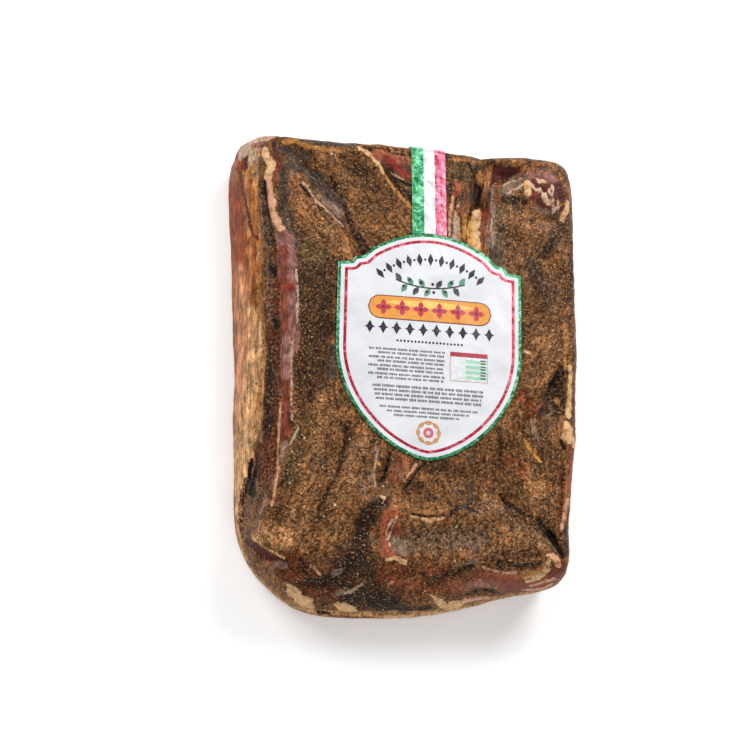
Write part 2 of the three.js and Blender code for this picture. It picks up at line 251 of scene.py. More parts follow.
def lumps(x, y, sizes):
    """A sum of plane noises, each with its own size and height."""
    return sum(height * plane_noise(x / size, y / size) for size, height in sizes)


def space_noise(points, size, seed=0):
    """Value noise in space from −1 to 1: whole-number hashes at the corners of cubes of the
    given size, with smooth steps between them along the three axes."""
    p = points / size + 100.0
    cell = np.floor(p).astype(np.int64)
    f = smooth(p - cell)
    result = 0.0
    for corner in range(8):
        step = np.array([corner & 1, (corner >> 1) & 1, corner >> 2])
        c = cell + step
        h = (c[..., 0] * 73856093) ^ (c[..., 1] * 19349663) ^ (c[..., 2] * 83492791) ^ (seed * 2654435761)
        h = (h ^ (h >> 13)) * 1274126177 & 0x7FFFFFFF
        h = (h ^ (h >> 15)) & 0xFFFF
        weight = np.prod(np.where(step, f, 1.0 - f), axis=-1)
        result = result + weight * (h / 32767.5 - 1.0)
    return result


def rough(points, size, octaves=3, seed=0):
    """Space noise of halving sizes and weights: large lumps with finer ones on them."""
    total = sum(space_noise(points, size / 2**k, seed + k) / 2**k for k in range(octaves))
    return total / (2.0 - 2.0 ** (1 - octaves))


sample = rough(np.random.default_rng(1).uniform(-100, 100, (4000, 3)), 5.0)
print("rough noise from", round(float(sample.min()), 2), "to", round(float(sample.max()), 2))

# %% [markdown]
# ## Furrows, ridges and lumps of the top face
# These are the named hollows and folds of the solids. A furrow is a bell-shaped dip along a
# path. Where the label and the ribbon press on the meat it is smooth.

# %% Relief of the top face
LABEL_X, LABEL_Y, LABEL_TURN = 13.0, 12.0, math.radians(-1.2)
LABEL_HALF_WIDTH, ARCH_TOP, ARCH_END, ARCH_HALF_WIDTH, LABEL_TIP = 63.5, 83.0, 69.0, 41.0, 79.0
RIBBON_X, RIBBON_WIDTH = 14.0, 24.0
ARCH_POWER, SHIELD_POWER = 6.0, 1.6  # how square the label's upper half and its sides are
PRESSED_MARGIN, PRESSED_FADE = 8.0, 6.0
# path in x and y, height, half width
TRAILS = [
    ([(-80, 150), (-55, 127), (-48, 106), (-28, 76)], -5, 7),  # fold at the far left
    ([(-60, 112), (-44, 90), (-38, 74)], 3, 5),  # ridge beside it
    ([(-41, 155), (-20, 145), (-5, 120)], 2.5, 5),  # fat seam
    ([(-13, 142), (-3, 128)], -5, 6),
    ([(40, 142), (39, 95)], 2.5, 4),  # ridge right of the ribbon
    ([(53, 158), (51, 124)], -8, 5),  # cleft
    ([(54, 124), (53, 86)], -5, 5),
    ([(58, 148), (76, 145)], -6, 7),  # hollow at the far right
    ([(80, 118), (88, 112), (104, 114)], -4, 5),
    ([(94, -114), (101, -124)], -6, 4),  # slit at the near right
    ([(-17, -59), (-22, -84)], -4, 6),  # furrow below the label
    ([(-44, -44), (-40, -54), (-47, -72)], -4, 6),
    ([(42, -57), (41, -92)], -3, 7),
    ([(78, 60), (84, -20), (70, -90)], -2, 16),
    ([(-30, -100), (0, -107), (40, -102)], 2.5, 9),  # ledge
    ([(-40, -112), (-8, -122), (44, -118)], -2.5, 8),  # trough before it
]
# x, y, half sizes across and along, height
LUMPS = [
    (98, 133, 17, 20, 5), (-7, 148, 10, 8, 3), (46, 104, 5, 12, 2), (50, 146, 5, 6, 4),
    (-60, 20, 26, 60, 2), (-50, -105, 26, 24, 3), (108, -41, 7, 12, 3),
    (100, -12, 12, 16, -4), (92, -128, 12, 9, 3),
]


def along_path(points, path):
    """Distance from points to a line of straight pieces, and how far along the line, from 0
    to 1, the nearest place is: each point is dropped onto each piece and the nearest is kept."""
    path = np.array(path, float)
    lengths = np.linalg.norm(np.diff(path, axis=0), axis=1)
    before = np.concatenate([[0.0], np.cumsum(lengths)])
    nearest = np.full(points.shape[:-1], np.inf)
    share = np.zeros(points.shape[:-1])
    for k, length in enumerate(lengths):
        piece = path[k + 1] - path[k]
        t = np.clip((points - path[k]) @ piece / length**2, 0.0, 1.0)
        distance = np.linalg.norm(points - path[k] - t[..., None] * piece, axis=-1)
        closer = distance < nearest
        nearest = np.where(closer, distance, nearest)
        share = np.where(closer, (before[k] + t * length) / before[-1], share)
    return nearest, share


def pressed(x, y):
    """1 under the label and the ribbon, 0 away from them. The label's outline is a rounded
    power curve, and the distance from it fades between 8 and 14 mm."""
    dx, dy = x - LABEL_X, y - LABEL_Y
    cosine, sine = math.cos(-LABEL_TURN), math.sin(-LABEL_TURN)
    across, up = cosine * dx - sine * dy, sine * dx + cosine * dy
    above = up > 0
    power = np.where(above, ARCH_POWER, 2.0)
    wide = (np.abs(across) / LABEL_HALF_WIDTH) ** np.where(above, ARCH_POWER, SHIELD_POWER)
    inside = (wide + (np.abs(up) / np.where(above, ARCH_TOP, LABEL_TIP)) ** power) ** (1.0 / power)
    beyond_label = (inside - 1.0) * LABEL_HALF_WIDTH
    beyond_ribbon = np.where(y > LABEL_Y, np.abs(x - RIBBON_X) - RIBBON_WIDTH / 2, np.inf)
    return 1.0 - smooth((np.minimum(beyond_label, beyond_ribbon) - PRESSED_MARGIN) / PRESSED_FADE)


def relief(x, y):
    """Sum of the bell-shaped trails and lumps and of the noise, none of it where pressed."""
    plan = np.stack([x, y], -1)
    height = lumps(x, y, FACE_LUMPS)
    for path, rise, width in TRAILS:
        height = height + rise * np.exp(-((along_path(plan, path)[0] / width) ** 2))
    for at_x, at_y, across, along, rise in LUMPS:
        off = ((x - at_x) / across) ** 2 + ((y - at_y) / along) ** 2
        height = height + rise * np.exp(-off)
    return height * (1.0 - pressed(x, y))


def wall_point(u, z):
    """A point of the side wall: the outline's reach at its height, less a groove along the
    seam, plus lumps that fade out at the foot and at the rim."""
    rim_reach = reach(u, 1.0)
    rim_height = dome_height(u[..., 0] * rim_reach, u[..., 1] * rim_reach)
    s = np.clip((z - WIDEST_HEIGHT) / (rim_height - WIDEST_HEIGHT), 0.0, 1.0)
    off_seam = (z - seam_height(u)) / SEAM_GROOVE_HALF_WIDTH
    groove = SEAM_GROOVE_DEPTH * np.exp(-(off_seam**2))
    around = rim_reach * (u[..., 0] - u[..., 1])
    free = 1.0 - pressed(u[..., 0] * rim_reach, u[..., 1] * rim_reach)
    bumps = lumps(around, z, WALL_LUMPS) * 4.0 * s * (1.0 - s) * free
    distance = reach(u, s) - groove + bumps
    return np.stack([u[..., 0] * distance, u[..., 1] * distance, z + 0.0 * distance], -1)


print("relief at the far left fold", round(float(relief(np.array(-52.0), np.array(116.0))), 1), "mm")

# %% [markdown]
# ## From a grid of points to a closed mesh
# Every large piece here is a stack of rows, each running once round the piece, with one point
# at either end. Quads join neighbouring rows and triangles close the ends. Colours and other
# numbers that a material needs are stored on the points as attributes.

# %% Mesh helpers
def linear(colour):
    """An sRGB colour of 0..255 as the linear light that Blender calculates with."""
    c = np.asarray(colour, float) / 255.0
    return np.where(c <= 0.04045, c / 12.92, ((c + 0.055) / 1.055) ** 2.4)


def closed_faces(rows, count):
    """Quads between rows of points and two fans of triangles to the end points, which are the
    first and the last vertex."""
    k, j = np.meshgrid(np.arange(rows - 1), np.arange(count), indexing="ij")
    here, after = 1 + k * count + j, 1 + k * count + (j + 1) % count
    quads = np.stack([here, here + count, after + count, after], -1).reshape(-1, 4)
    ring = np.arange(count)
    first = np.stack([0 * ring, 1 + ring, 1 + (ring + 1) % count], -1)
    start = 1 + (rows - 1) * count
    last = np.stack([0 * ring + start + count, start + (ring + 1) % count, start + ring], -1)
    return quads, np.concatenate([first, last])


def add_piece(name, points, faces, material, smooth_faces=True):
    """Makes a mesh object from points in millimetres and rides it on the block.
    If the faces enclose a negative volume they are turned round, so that they point outwards."""
    points = (np.asarray(points) + BOX_SHIFT) * MM
    volume = 0.0
    for group in faces:
        for a in range(2, group.shape[1]):
            p, q, r = points[group[:, 0]], points[group[:, a - 1]], points[group[:, a]]
            volume += float(np.einsum("ij,ij->i", p, np.cross(q, r)).sum()) / 6.0
    if volume < 0.0:
        faces = [group[:, ::-1] for group in faces]
    mesh = bpy.data.meshes.new(name)
    mesh.from_pydata(points.tolist(), [], [face for group in faces for face in group.tolist()])
    mesh.polygons.foreach_set("use_smooth", np.full(len(mesh.polygons), smooth_faces))
    mesh.materials.append(material)
    mesh.update()
    piece = bpy.data.objects.new(name, mesh)
    scene.collection.objects.link(piece)
    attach(piece, "root")
    triangles = sum(len(group) * (group.shape[1] - 2) for group in faces)
    print(name, "has", triangles, "triangles and", round(abs(volume) * 1e3, 3), "litres")
    return piece


def store(piece, name, values):
    """Keeps a number or a linear colour on every point of a piece."""
    values = np.asarray(values, float)
    if values.ndim == 1:
        layer = piece.data.attributes.new(name, "FLOAT", "POINT")
        layer.data.foreach_set("value", values)
    else:
        layer = piece.data.attributes.new(name, "FLOAT_COLOR", "POINT")
        with_alpha = np.concatenate([values, np.ones((len(values), 1))], -1)
        layer.data.foreach_set("color", with_alpha.ravel())


def grid_normals(grid, outward_from):
    """Unit normals of a grid whose second direction runs round: the cross product of the steps
    to the neighbours, turned away from a point inside."""
    round_step = np.roll(grid, -1, 1) - np.roll(grid, 1, 1)
    row_step = np.gradient(grid, axis=0)
    normal = np.cross(round_step, row_step)
    normal /= np.linalg.norm(normal, axis=-1, keepdims=True) + 1e-12
    sign = np.sign(np.einsum("kji,kji->kj", normal, grid - outward_from))
    return normal * np.sign(sign.mean(axis=1, keepdims=True) + 1e-9)[..., None]


# %% [markdown]
# ## Reading places from the photograph
# Strips of fat, slots painted dark as their shade and patches of bare muscle each have their own place on this
# ham.
# Their paths were read from the photograph and are written in its pixels. To lay them on the block, every
# surface point is brought to the same pixels as the camera does it, and distances are taken there. Points that
# face away from the camera take no marks; the sides that the photograph doesn't show get patches of the same
# kinds from noise.

# %% From the block to the photograph's pixels
PHOTO_SIZE = 750
eye = aim + CAMERA_DISTANCE * toward_camera


def photo_pixels(points):
    """Where block points fall in the photograph: the offset from the camera along its right and
    up axes, over the depth, times the lens length in pixels, from the top left corner."""
    offset = (points + BOX_SHIFT) * MM - eye
    scale = PHOTO_SIZE * LENS / SENSOR_WIDTH / -(offset @ toward_camera)
    right, up = offset @ camera_right * scale, offset @ camera_up * scale
    return np.stack([PHOTO_SIZE / 2 + right, PHOTO_SIZE / 2 - up], -1)


print("far left corner falls at", photo_pixels(np.array([-100.0, 155.0, 55.0])).round())

# %% [markdown]
# ## Finishes and the brush
# A mark names its finish. Tones blend softly into the crust. Muscle, fat and slot are masks:
# the brush stores a number that falls from 1 to 0 over a few millimetres across the mark's
# edge, and the material cuts it off at one half with fine noise, so the edge is sharper and
# more ragged than the mesh could show. Each mask keeps a colour of its own beside it.

# %% Finishes and the brush
LAYERS = ("muscle", "fat", "slot")
# layer, colour, how much spice sticks to it
FINISHES = {
    # The light and pale crust tones are painted light, and the dark crust tone is painted shade.
    "light crust": ("tone", (138, 94, 58), 1.0),
    "pale crust": ("tone", (178, 126, 82), 0.9),
    "brown crust": ("tone", (114, 74, 42), 1.0),
    "red crust": ("tone", (122, 62, 30), 1.0),
    "olive crust": ("tone", (92, 68, 42), 1.0),
    "grey crust": ("tone", (108, 80, 58), 1.0),
    "dark crust": ("tone", (70, 44, 27), 1.0),
    "pepper crust": ("tone", (36, 24, 17), 1.0),
    "wall brown": ("tone", (98, 46, 22), 0.9),
    "rind brown": ("tone", (134, 62, 30), 0.14),
    "rind ochre": ("tone", (152, 86, 40), 0.3),
    "rind salmon": ("tone", (188, 126, 88), 0.14),
    "rind cream": ("tone", (198, 150, 104), 0.34),
    "slate": ("muscle", (66, 53, 43), 0.45),
    # The grey film finish is painted sheen: the clear film's reflection over folds and ridges.
    "grey film sheen": ("muscle", (128, 104, 88), 0.4),
    "mauve": ("muscle", (138, 92, 84), 0.2),
    "rosy muscle": ("muscle", (150, 80, 52), 0.35),
    "brown muscle": ("muscle", (124, 70, 42), 0.5),
    "muscle": ("muscle", (116, 50, 35), 0.15),
    "wine muscle": ("muscle", (92, 38, 33), 0.12),
    "maroon": ("muscle", (72, 26, 24), 0.1),
    "red": ("muscle", (142, 50, 38), 0.1),
    "tan rim": ("muscle", (150, 99, 60), 0.5),
    "cream fat": ("fat", (222, 180, 132), 0.15),
    "pink fat": ("fat", (212, 158, 126), 0.15),
    "yellow fat": ("fat", (210, 152, 78), 0.2),
    "ochre fat": ("fat", (178, 122, 66), 0.45),
    # The white film finish is painted sheen along thin creases of the film.
    "white film sheen": ("fat", (190, 160, 138), 0.2),
    "pale grains": ("fat", (208, 176, 156), 0.1),
    # The slot finishes are painted shade: the dark inside slits, holes, clefts and furrows and along the foot
    # of the block.
    "slot brown": ("slot", (82, 37, 18), 0.7),
    "dark brown": ("slot", (46, 27, 17), 0.8),
    "black": ("slot", (13, 8, 6), 0.0),
}
EDGE = 1.9  # mm
EDGE_WAVES = ((0.9, 6.0), (0.7, 2.6))  # height and size of the waves of an edge, mm
REACH = 8.0  # mm beyond its width within which a mark is worked out
PIXEL_SIZE = CAMERA_DISTANCE / MM * SENSOR_WIDTH / LENS / PHOTO_SIZE  # mm on the top face


def new_coat(tint, spice):
    """An empty coat: the tint and spice of every point, with no mask laid yet."""
    coat = {"tint": tint, "spice": spice, "lift": np.zeros(len(tint))}
    for layer, finish in zip(LAYERS, ("muscle", "cream fat", "slot brown")):
        coat[layer] = np.zeros(len(tint))
        coat[layer + "_tint"] = np.tile(linear(FINISHES[finish][1]), (len(tint), 1))
    return coat


def lay(coat, near, finish, depth, seen, rise):
    """Lays one finish on the points near. depth is how many mm a point lies inside the mark.
    A mask becomes smooth((depth + EDGE) / 2 EDGE) and wipes the other masks by as much."""
    layer, colour, sticks = FINISHES[finish]
    colour = linear(colour)
    if layer == "tone":
        soft = 1.6 + 0.35 * np.maximum(depth.max(), 0.0)
        amount = seen * smooth((depth + soft) / (2.0 * soft))
        coat["tint"][near] += (colour - coat["tint"][near]) * amount[:, None]
    else:
        amount = seen * smooth((depth + EDGE) / (2.0 * EDGE))
        for other in LAYERS:
            coat[other][near] *= 1.0 - amount
        coat[layer][near] = np.maximum(coat[layer][near], amount)
        blend = seen * smooth((depth + 1.5 * EDGE) / EDGE)
        old = coat[layer + "_tint"][near]
        coat[layer + "_tint"][near] = old + (colour - old) * blend[:, None]
    coat["spice"][near] += (sticks - coat["spice"][near]) * amount
    coat["lift"][near] += rise * amount


def brush(coat, points, normals, marks, seed):
    """Lays marks one after another. A mark is its finish, its width (one number, or one for
    each end), how far it stands out, both in millimetres, and its path in pixels. The depth
    of a point inside it is half the width less the distance to the path, plus some noise."""
    pixels = photo_pixels(points)
    facing = smooth((normals @ toward_camera + 0.03) / 0.08)
    for number, (finish, width, rise, path) in enumerate(marks.values()):
        path = np.array(path, float)
        start, end = width if isinstance(width, tuple) else (width, width)
        margin = (max(start, end) + REACH) / PIXEL_SIZE
        close = np.all((pixels > path.min(0) - margin) & (pixels < path.max(0) + margin), axis=1)
        near = np.flatnonzero(close & (facing > 0.0))
        if len(near) == 0:
            continue
        distance, share = along_path(pixels[near], path)
        half_width = (start + (end - start) * share) / 2.0
        here = points[near]
        uneven = sum(wave * space_noise(here, size, seed + number) for wave, size in EDGE_WAVES)
        depth = half_width - distance * PIXEL_SIZE + uneven * np.minimum(half_width / 2.2, 1.3)
        lay(coat, near, finish, depth, facing[near], rise)


print(len(FINISHES), "finishes; a pixel is", round(PIXEL_SIZE, 3), "mm on the top face")

# %% [markdown]
# ## Materials of the meat
# Ground spice is a heap of crumbs about a millimetre across, each with its own shade. A
# Voronoi texture gives just such cells, and colour ramps over its random cell colour decide
# how many are dark, brown or golden. Under the spice the meat is a bundle of fibres, which is
# noise stretched along the grain. The grain runs one way at the far left and another way at
# the right, so three directions are mixed by painted numbers. One function makes the material
# for both the lean and the rind, because both show the same layers in other amounts.

# %% A short way to write node trees
class Nodes:
    """A short way to build a node tree: each call adds one node, sets its plain values and
    links its sockets."""

    def __init__(self, name):
        self.material = bpy.data.materials.new(name)
        self.material.use_nodes = True
        self.tree = self.material.node_tree
        self.shader = self.tree.nodes["Principled BSDF"]
        self.place = self.add("ShaderNodeTexCoord").outputs["Object"]

    def add(self, kind, settings=None, **sockets):
        node = self.tree.nodes.new(kind)
        for key, value in (settings or {}).items():
            setattr(node, key, value)
        for key, value in sockets.items():
            key = int(key[1:]) if key[0] == "_" else key.replace("_", " ")
            self.set(node.inputs[key], value)
        return node

    def set(self, socket, value):
        if isinstance(value, bpy.types.NodeSocket):
            self.tree.links.new(value, socket)
        elif isinstance(value, tuple) and len(value) == 3 and socket.type == "RGBA":
            socket.default_value = (*value, 1.0)
        else:
            socket.default_value = value

    def colour(self, name):
        return self.add("ShaderNodeAttribute", {"attribute_name": name}).outputs["Color"]

    def number(self, name):
        return self.add("ShaderNodeAttribute", {"attribute_name": name}).outputs["Fac"]

    def math(self, operation, a, b=0.5):
        return self.add("ShaderNodeMath", {"operation": operation}, _0=a, _1=b).outputs[0]

    def mix(self, a, b, amount, blend="MIX"):
        node = self.add("ShaderNodeMix", {"data_type": "RGBA", "blend_type": blend, "clamp_result": False})
        self.set(node.inputs["Factor"], amount)
        self.set(node.inputs["A"], a)
        self.set(node.inputs["B"], b)
        return node.outputs["Result"]

    def times(self, a, b):
        return self.mix(a, b, 1.0, "MULTIPLY")

    def ramp(self, value, stops, interpolation="LINEAR"):
        node = self.add("ShaderNodeValToRGB", Fac=value)
        ramp = node.color_ramp
        ramp.interpolation = interpolation
        while len(ramp.elements) < len(stops):
            ramp.elements.new(0.5)
        for element, (at, shade) in zip(ramp.elements, stops):
            element.position = at
            shade = shade if isinstance(shade, tuple) else (shade, shade, shade)
            element.color = (*shade, 1.0)
        return node.outputs["Color"]

    def gain(self, value, stops):
        """A ramp of factors up to 4: a ramp's colours end at 1, so it holds a quarter of them."""
        quarters = [(at, tuple(np.broadcast_to(factor, 3) / 4.0)) for at, factor in stops]
        return self.times(self.ramp(value, quarters), (4.0, 4.0, 4.0))

    def noise(self, scale, detail=2.0, vector=None, distortion=0.0):
        node = self.add("ShaderNodeTexNoise", Scale=scale, Detail=detail, Distortion=distortion)
        self.set(node.inputs["Vector"], vector or self.place)
        return node.outputs["Fac"]

    def cells(self, size):
        """Voronoi cells of a size in millimetres: a distance and three random numbers."""
        node = self.add("ShaderNodeTexVoronoi", Vector=self.place, Scale=1000.0 / size)
        shade = self.add("ShaderNodeSeparateColor", Color=node.outputs["Color"])
        return node.outputs["Distance"], shade.outputs[0], shade.outputs[1], shade.outputs[2]

    def fibres(self, across, along):
        """Noise drawn out along the grain, thicknesses in millimetres. The vector is turned and
        divided by the two lengths, once for each direction, and the results are mixed."""
        drawn = []
        for turn in (0.0, GRAIN_FAR_LEFT, GRAIN_RIGHT):
            vector = self.add("ShaderNodeMapping", {"vector_type": "TEXTURE"}, Vector=self.place,
                              Rotation=(0.0, 0.0, turn), Scale=(across * MM, along * MM, across * MM))
            drawn.append(self.noise(1.0, 3.0, vector.outputs["Vector"]))
        turned = self.mix(drawn[0], drawn[1], self.number("grain_far_left"))
        return self.mix(turned, drawn[2], self.number("grain_right"))


GRAIN_FAR_LEFT = math.radians(38.0)
GRAIN_RIGHT = math.radians(-24.0)
print("grain turned by", [round(math.degrees(turn)) for turn in (GRAIN_FAR_LEFT, GRAIN_RIGHT)], "degrees")

# %% Meat under its spice
# noise or random number from 0 to 1, and the factor that it puts on the colour below
GRAIN_SHADES = [(0.0, 0.28), (0.25, 0.68), (0.6, 1.0), (0.85, 1.32), (1.0, 1.8)]
SMALL_GRAIN_SHADES = [(0.0, 0.5), (0.4, 0.9), (0.75, 1.12), (1.0, 1.5)]
WARM, PLAIN, GREENISH = (1.07, 0.97, 0.88), (1.0, 1.0, 1.0), (0.95, 1.04, 1.04)
GRAIN_HUES = [(0.0, WARM), (0.5, PLAIN), (1.0, GREENISH)]
CLOUDS = [(0.36, 0.66), (0.5, 1.0), (0.64, 1.38)]
STREAKS = [(0.37, 0.58), (0.5, 1.0), (0.63, 1.4)]
THREADS = [(0.34, 0.62), (0.5, 1.0), (0.66, 1.42)]
MUSCLE_THREADS = [(0.34, 0.45), (0.5, 1.0), (0.66, 1.7)]
FAT_STAINS = [(0.35, (0.6, 0.47, 0.35)), (0.5, PLAIN), (0.7, (1.1, 1.1, 1.1))]
# factors by which the slot's painted shade varies with noise
SLOT_SHADE_STEPS = [(0.35, 0.35), (0.65, 2.0)]
SMALL_GRAIN = 0.55  # of a grain's size
LIGHT_GRAIN = (2.1, 2.5, 2.9)  # times the crust's tint
GOLDEN_SPICE = (0.44, 0.31, 0.17)
SINEW = (0.42, 0.26, 0.19)
PEPPER = (0.020, 0.011, 0.006)
PEPPER_SPACING = 2.0  # mm


def layer_colours(n, fine):
    """Crust, muscle, fat and slot without spice: each is its painted tint times noises of its own kind, and
    the muscle has pale sinews where long thin fibres are strong. The slot's dark tint is painted shade."""
    clouds = n.gain(n.noise(130.0, 4.0), CLOUDS)
    streaks = n.gain(n.fibres(2.4, 20.0), STREAKS)
    crust = n.times(n.times(n.colour("tint"), clouds), n.times(streaks, n.gain(fine, THREADS)))
    muscle = n.times(n.times(n.colour("muscle_tint"), n.gain(fine, MUSCLE_THREADS)), clouds)
    muscle = n.mix(muscle, SINEW, n.ramp(n.fibres(0.5, 9.0), [(0.58, 0.0), (0.7, 0.45)]))
    fat = n.times(n.colour("fat_tint"), n.gain(n.noise(260.0, 4.0), FAT_STAINS))
    slot = n.times(n.colour("slot_tint"), n.gain(n.noise(600.0, 3.0), SLOT_SHADE_STEPS))
    return crust, (muscle, fat, slot)


def lay_masks(n, colour, shown, fine):
    """Lays each layer over the crust where its mask and a ragged noise add up to over one half."""
    ragged = n.math("MULTIPLY", n.noise(900.0, 2.0), 0.7)
    ragged = n.math("ADD", ragged, n.math("MULTIPLY", n.noise(330.0, 2.0), 0.7))
    ragged = n.math("SUBTRACT", n.math("ADD", ragged, n.math("MULTIPLY", fine, 0.6)), 1.0)
    for layer, over in zip(LAYERS, shown):
        mask = n.math("ADD", n.number(layer), ragged)
        colour = n.mix(colour, over, n.ramp(mask, [(0.44, 0.0), (0.56, 1.0)]))
    return colour


def pepper_grains(n, colour, spice, strength):
    """Black dots in the middles of one in five large cells, more of them in some patches."""
    distance, shade, _, _ = n.cells(PEPPER_SPACING)
    dot = n.math("MULTIPLY", n.ramp(shade, [(0.0, 1.0), (0.2, 0.0)], "CONSTANT"),
                 n.ramp(distance, [(0.22, 1.0), (0.34, 0.0)]))
    patchy = n.ramp(n.noise(70.0, 2.0), [(0.42, 0.15), (0.6, 1.0)])
    enough = n.math("MINIMUM", n.math("MULTIPLY", spice, 3.0), 1.0)
    dot = n.math("MULTIPLY", n.math("MULTIPLY", dot, enough), n.math("MULTIPLY", patchy, strength))
    return n.mix(colour, PEPPER, dot)


def meat_material(name, crumb_size, pepper):
    """Crust, muscle, fat and slot in one material. crumb_size is in millimetres; pepper is how
    strongly separate pepper grains show."""
    n = Nodes(name)
    spice = n.number("spice")
    fine = n.fibres(0.9, 7.0)
    distance, shade, hue, gloss = n.cells(crumb_size)
    _, small_shade, small_hue, _ = n.cells(SMALL_GRAIN * crumb_size)
    crust, shown = layer_colours(n, fine)
    colour = lay_masks(n, crust, shown, fine)
    # Grains of spice as factors, then the lightest ones and a few golden ones over the rest
    grains = n.times(n.gain(shade, GRAIN_SHADES), n.gain(small_shade, SMALL_GRAIN_SHADES))
    grains = n.times(grains, n.gain(hue, GRAIN_HUES))
    colour = n.times(colour, n.mix(PLAIN, grains, spice))
    light = n.math("MULTIPLY", n.ramp(shade, [(0.62, 0.0), (1.0, 0.42)]), spice)
    colour = n.mix(colour, n.times(n.colour("tint"), LIGHT_GRAIN), light)
    golden = n.math("MULTIPLY", n.ramp(small_hue, [(0.93, 0.0), (1.0, 0.8)]), spice)
    colour = n.mix(colour, GOLDEN_SPICE, golden)
    colour = pepper_grains(n, colour, spice, pepper)
    n.set(n.shader.inputs["Base Color"], colour)
    height = n.math("MULTIPLY", n.math("SUBTRACT", 0.9, distance), spice)
    height = n.math("ADD", height, n.math("MULTIPLY", fine, 0.9))
    bump = n.add("ShaderNodeBump", Height=height, Strength=0.9, Distance=0.0006)
    n.set(n.shader.inputs["Normal"], bump.outputs["Normal"])
    n.set(n.shader.inputs["Roughness"], n.math("ADD", 0.45, n.math("MULTIPLY", gloss, 0.25)))
    n.shader.inputs["Specular IOR Level"].default_value = 0.08
    return n.material


crust_material = meat_material("spiced lean", 1.5, 0.5)
rind_material = meat_material("fat and rind", 1.2, 1.0)
print("made", crust_material.name, "and", rind_material.name)

# %% [markdown]
# ## Marks on the lean
# Each group is one stretch of the surface, and every mark in it has a name. They are laid in
# this order: first broad tones of the crust, then what shows in it. A width with two numbers
# changes from the start of the path to its end.

# %% Broad tones of the crust
# finish, width and rise in millimetres, path in pixels of the photograph
# The lit tones are painted light; the dim and dark ones are painted shade.
TONES = {
    "dim left": ("dark crust", 22, 0.0, [(304, 270), (306, 330), (312, 390)]),
    "dim beside the label": ("dark crust", 18, 0.0, [(322, 262), (324, 330)]),
    "dim fold": ("dark crust", 9, 0.0, [(362, 172), (380, 192)]),
    "olive left": ("olive crust", 13, 0.0, [(300, 236), (316, 258)]),
    "lit fold": ("light crust", 8, 0.3, [(299, 200), (318, 218), (334, 234), (344, 250)]),
    "lit near left": ("light crust", (10, 15), 0.3, [(322, 400), (318, 430), (308, 490), (300, 516)]),
    "lit below the label": ("light crust", 10, 0.3, [(362, 430), (356, 456), (350, 480)]),
    "olive near left": ("olive crust", 10, 0.0, [(298, 420), (296, 450), (290, 478)]),
    "lit near corner": ("pale crust", 13, 0.3, [(262, 534), (285, 538)]),
    "lit trough": ("light crust", 9, 0.2, [(340, 512), (334, 535)]),
    "dim below the tip": ("dark crust", 9, -0.2, [(440, 466), (452, 470)]),
    "grey near middle": ("grey crust", 15, 0.2, [(412, 540), (450, 540), (480, 536)]),
    "lit near right": ("light crust", 15, 0.2, [(505, 535), (535, 540)]),
    "lit ledge": ("light crust", 9, 0.3, [(485, 500), (496, 509)]),
    "olive far right": ("olive crust", 16, 0.0, [(454, 170), (474, 172)]),
    "grey far right": ("grey crust", 8, 0.0, [(500, 210), (502, 240), (500, 264)]),
    "lit far right": ("light crust", 13, 0.3, [(525, 218), (545, 228)]),
    "dim far edge": ("dark crust", 8, 0.0, [(500, 152), (520, 148), (546, 151)]),
    "dim far right": ("dark crust", 10, -0.3, [(562, 225), (550, 245), (536, 262)]),
    "dim right": ("dark crust", 13, -0.2, [(534, 270), (545, 300)]),
    "dim edge": ("dark crust", 4, 0.0, [(571, 205), (572, 250), (571, 300)]),
    "lit right": ("light crust", 17, 0.3, [(545, 345), (550, 362), (540, 380)]),
    "red right": ("red crust", 8, 0.0, [(524, 396), (532, 412)]),
    "red near right": ("red crust", 10, 0.0, [(508, 460), (526, 474)]),
    "lit lower right": ("light crust", 12, 0.2, [(532, 478), (545, 500)]),
    "brown near wall": ("wall brown", 20, 0.0, [(290, 566), (318, 582), (345, 590)]),
    "pepper near corner": ("pepper crust", 6, -0.2, [(316, 584), (332, 580), (344, 584)]),
    "dark below the patch": ("dark crust", 20, 0.0, [(345, 560), (360, 565), (372, 575)]),
    "red near wall": ("red crust", 16, 0.0, [(388, 574), (410, 578), (440, 574)]),
    "red lower wall": ("red crust", 12, 0.0, [(395, 590), (425, 588), (450, 582)]),
    "pepper near wall": ("pepper crust", 15, 0.0, [(350, 594), (364, 598), (378, 600), (392, 604)]),
    "pepper wall right": ("pepper crust", 5, -0.3, [(430, 582), (450, 574), (470, 566)]),
    "pepper by the patch": ("pepper crust", (7, 12), -0.4, [(384, 502), (370, 512), (362, 526), (360, 545)]),
    "pepper on the wall": ("pepper crust", 9, -0.2, [(358, 552), (350, 566), (338, 574)]),
    "pepper lower right": ("pepper crust", 6, -0.3, [(540, 522), (552, 536)]),
    "dark near ledge": ("dark crust", 4, -0.4, [(498, 554), (515, 557), (540, 554)]),
    "dark seam right": ("dark crust", 4, -0.5, [(500, 428), (501, 445), (501, 462)]),
}
print(len(TONES), "broad tones")

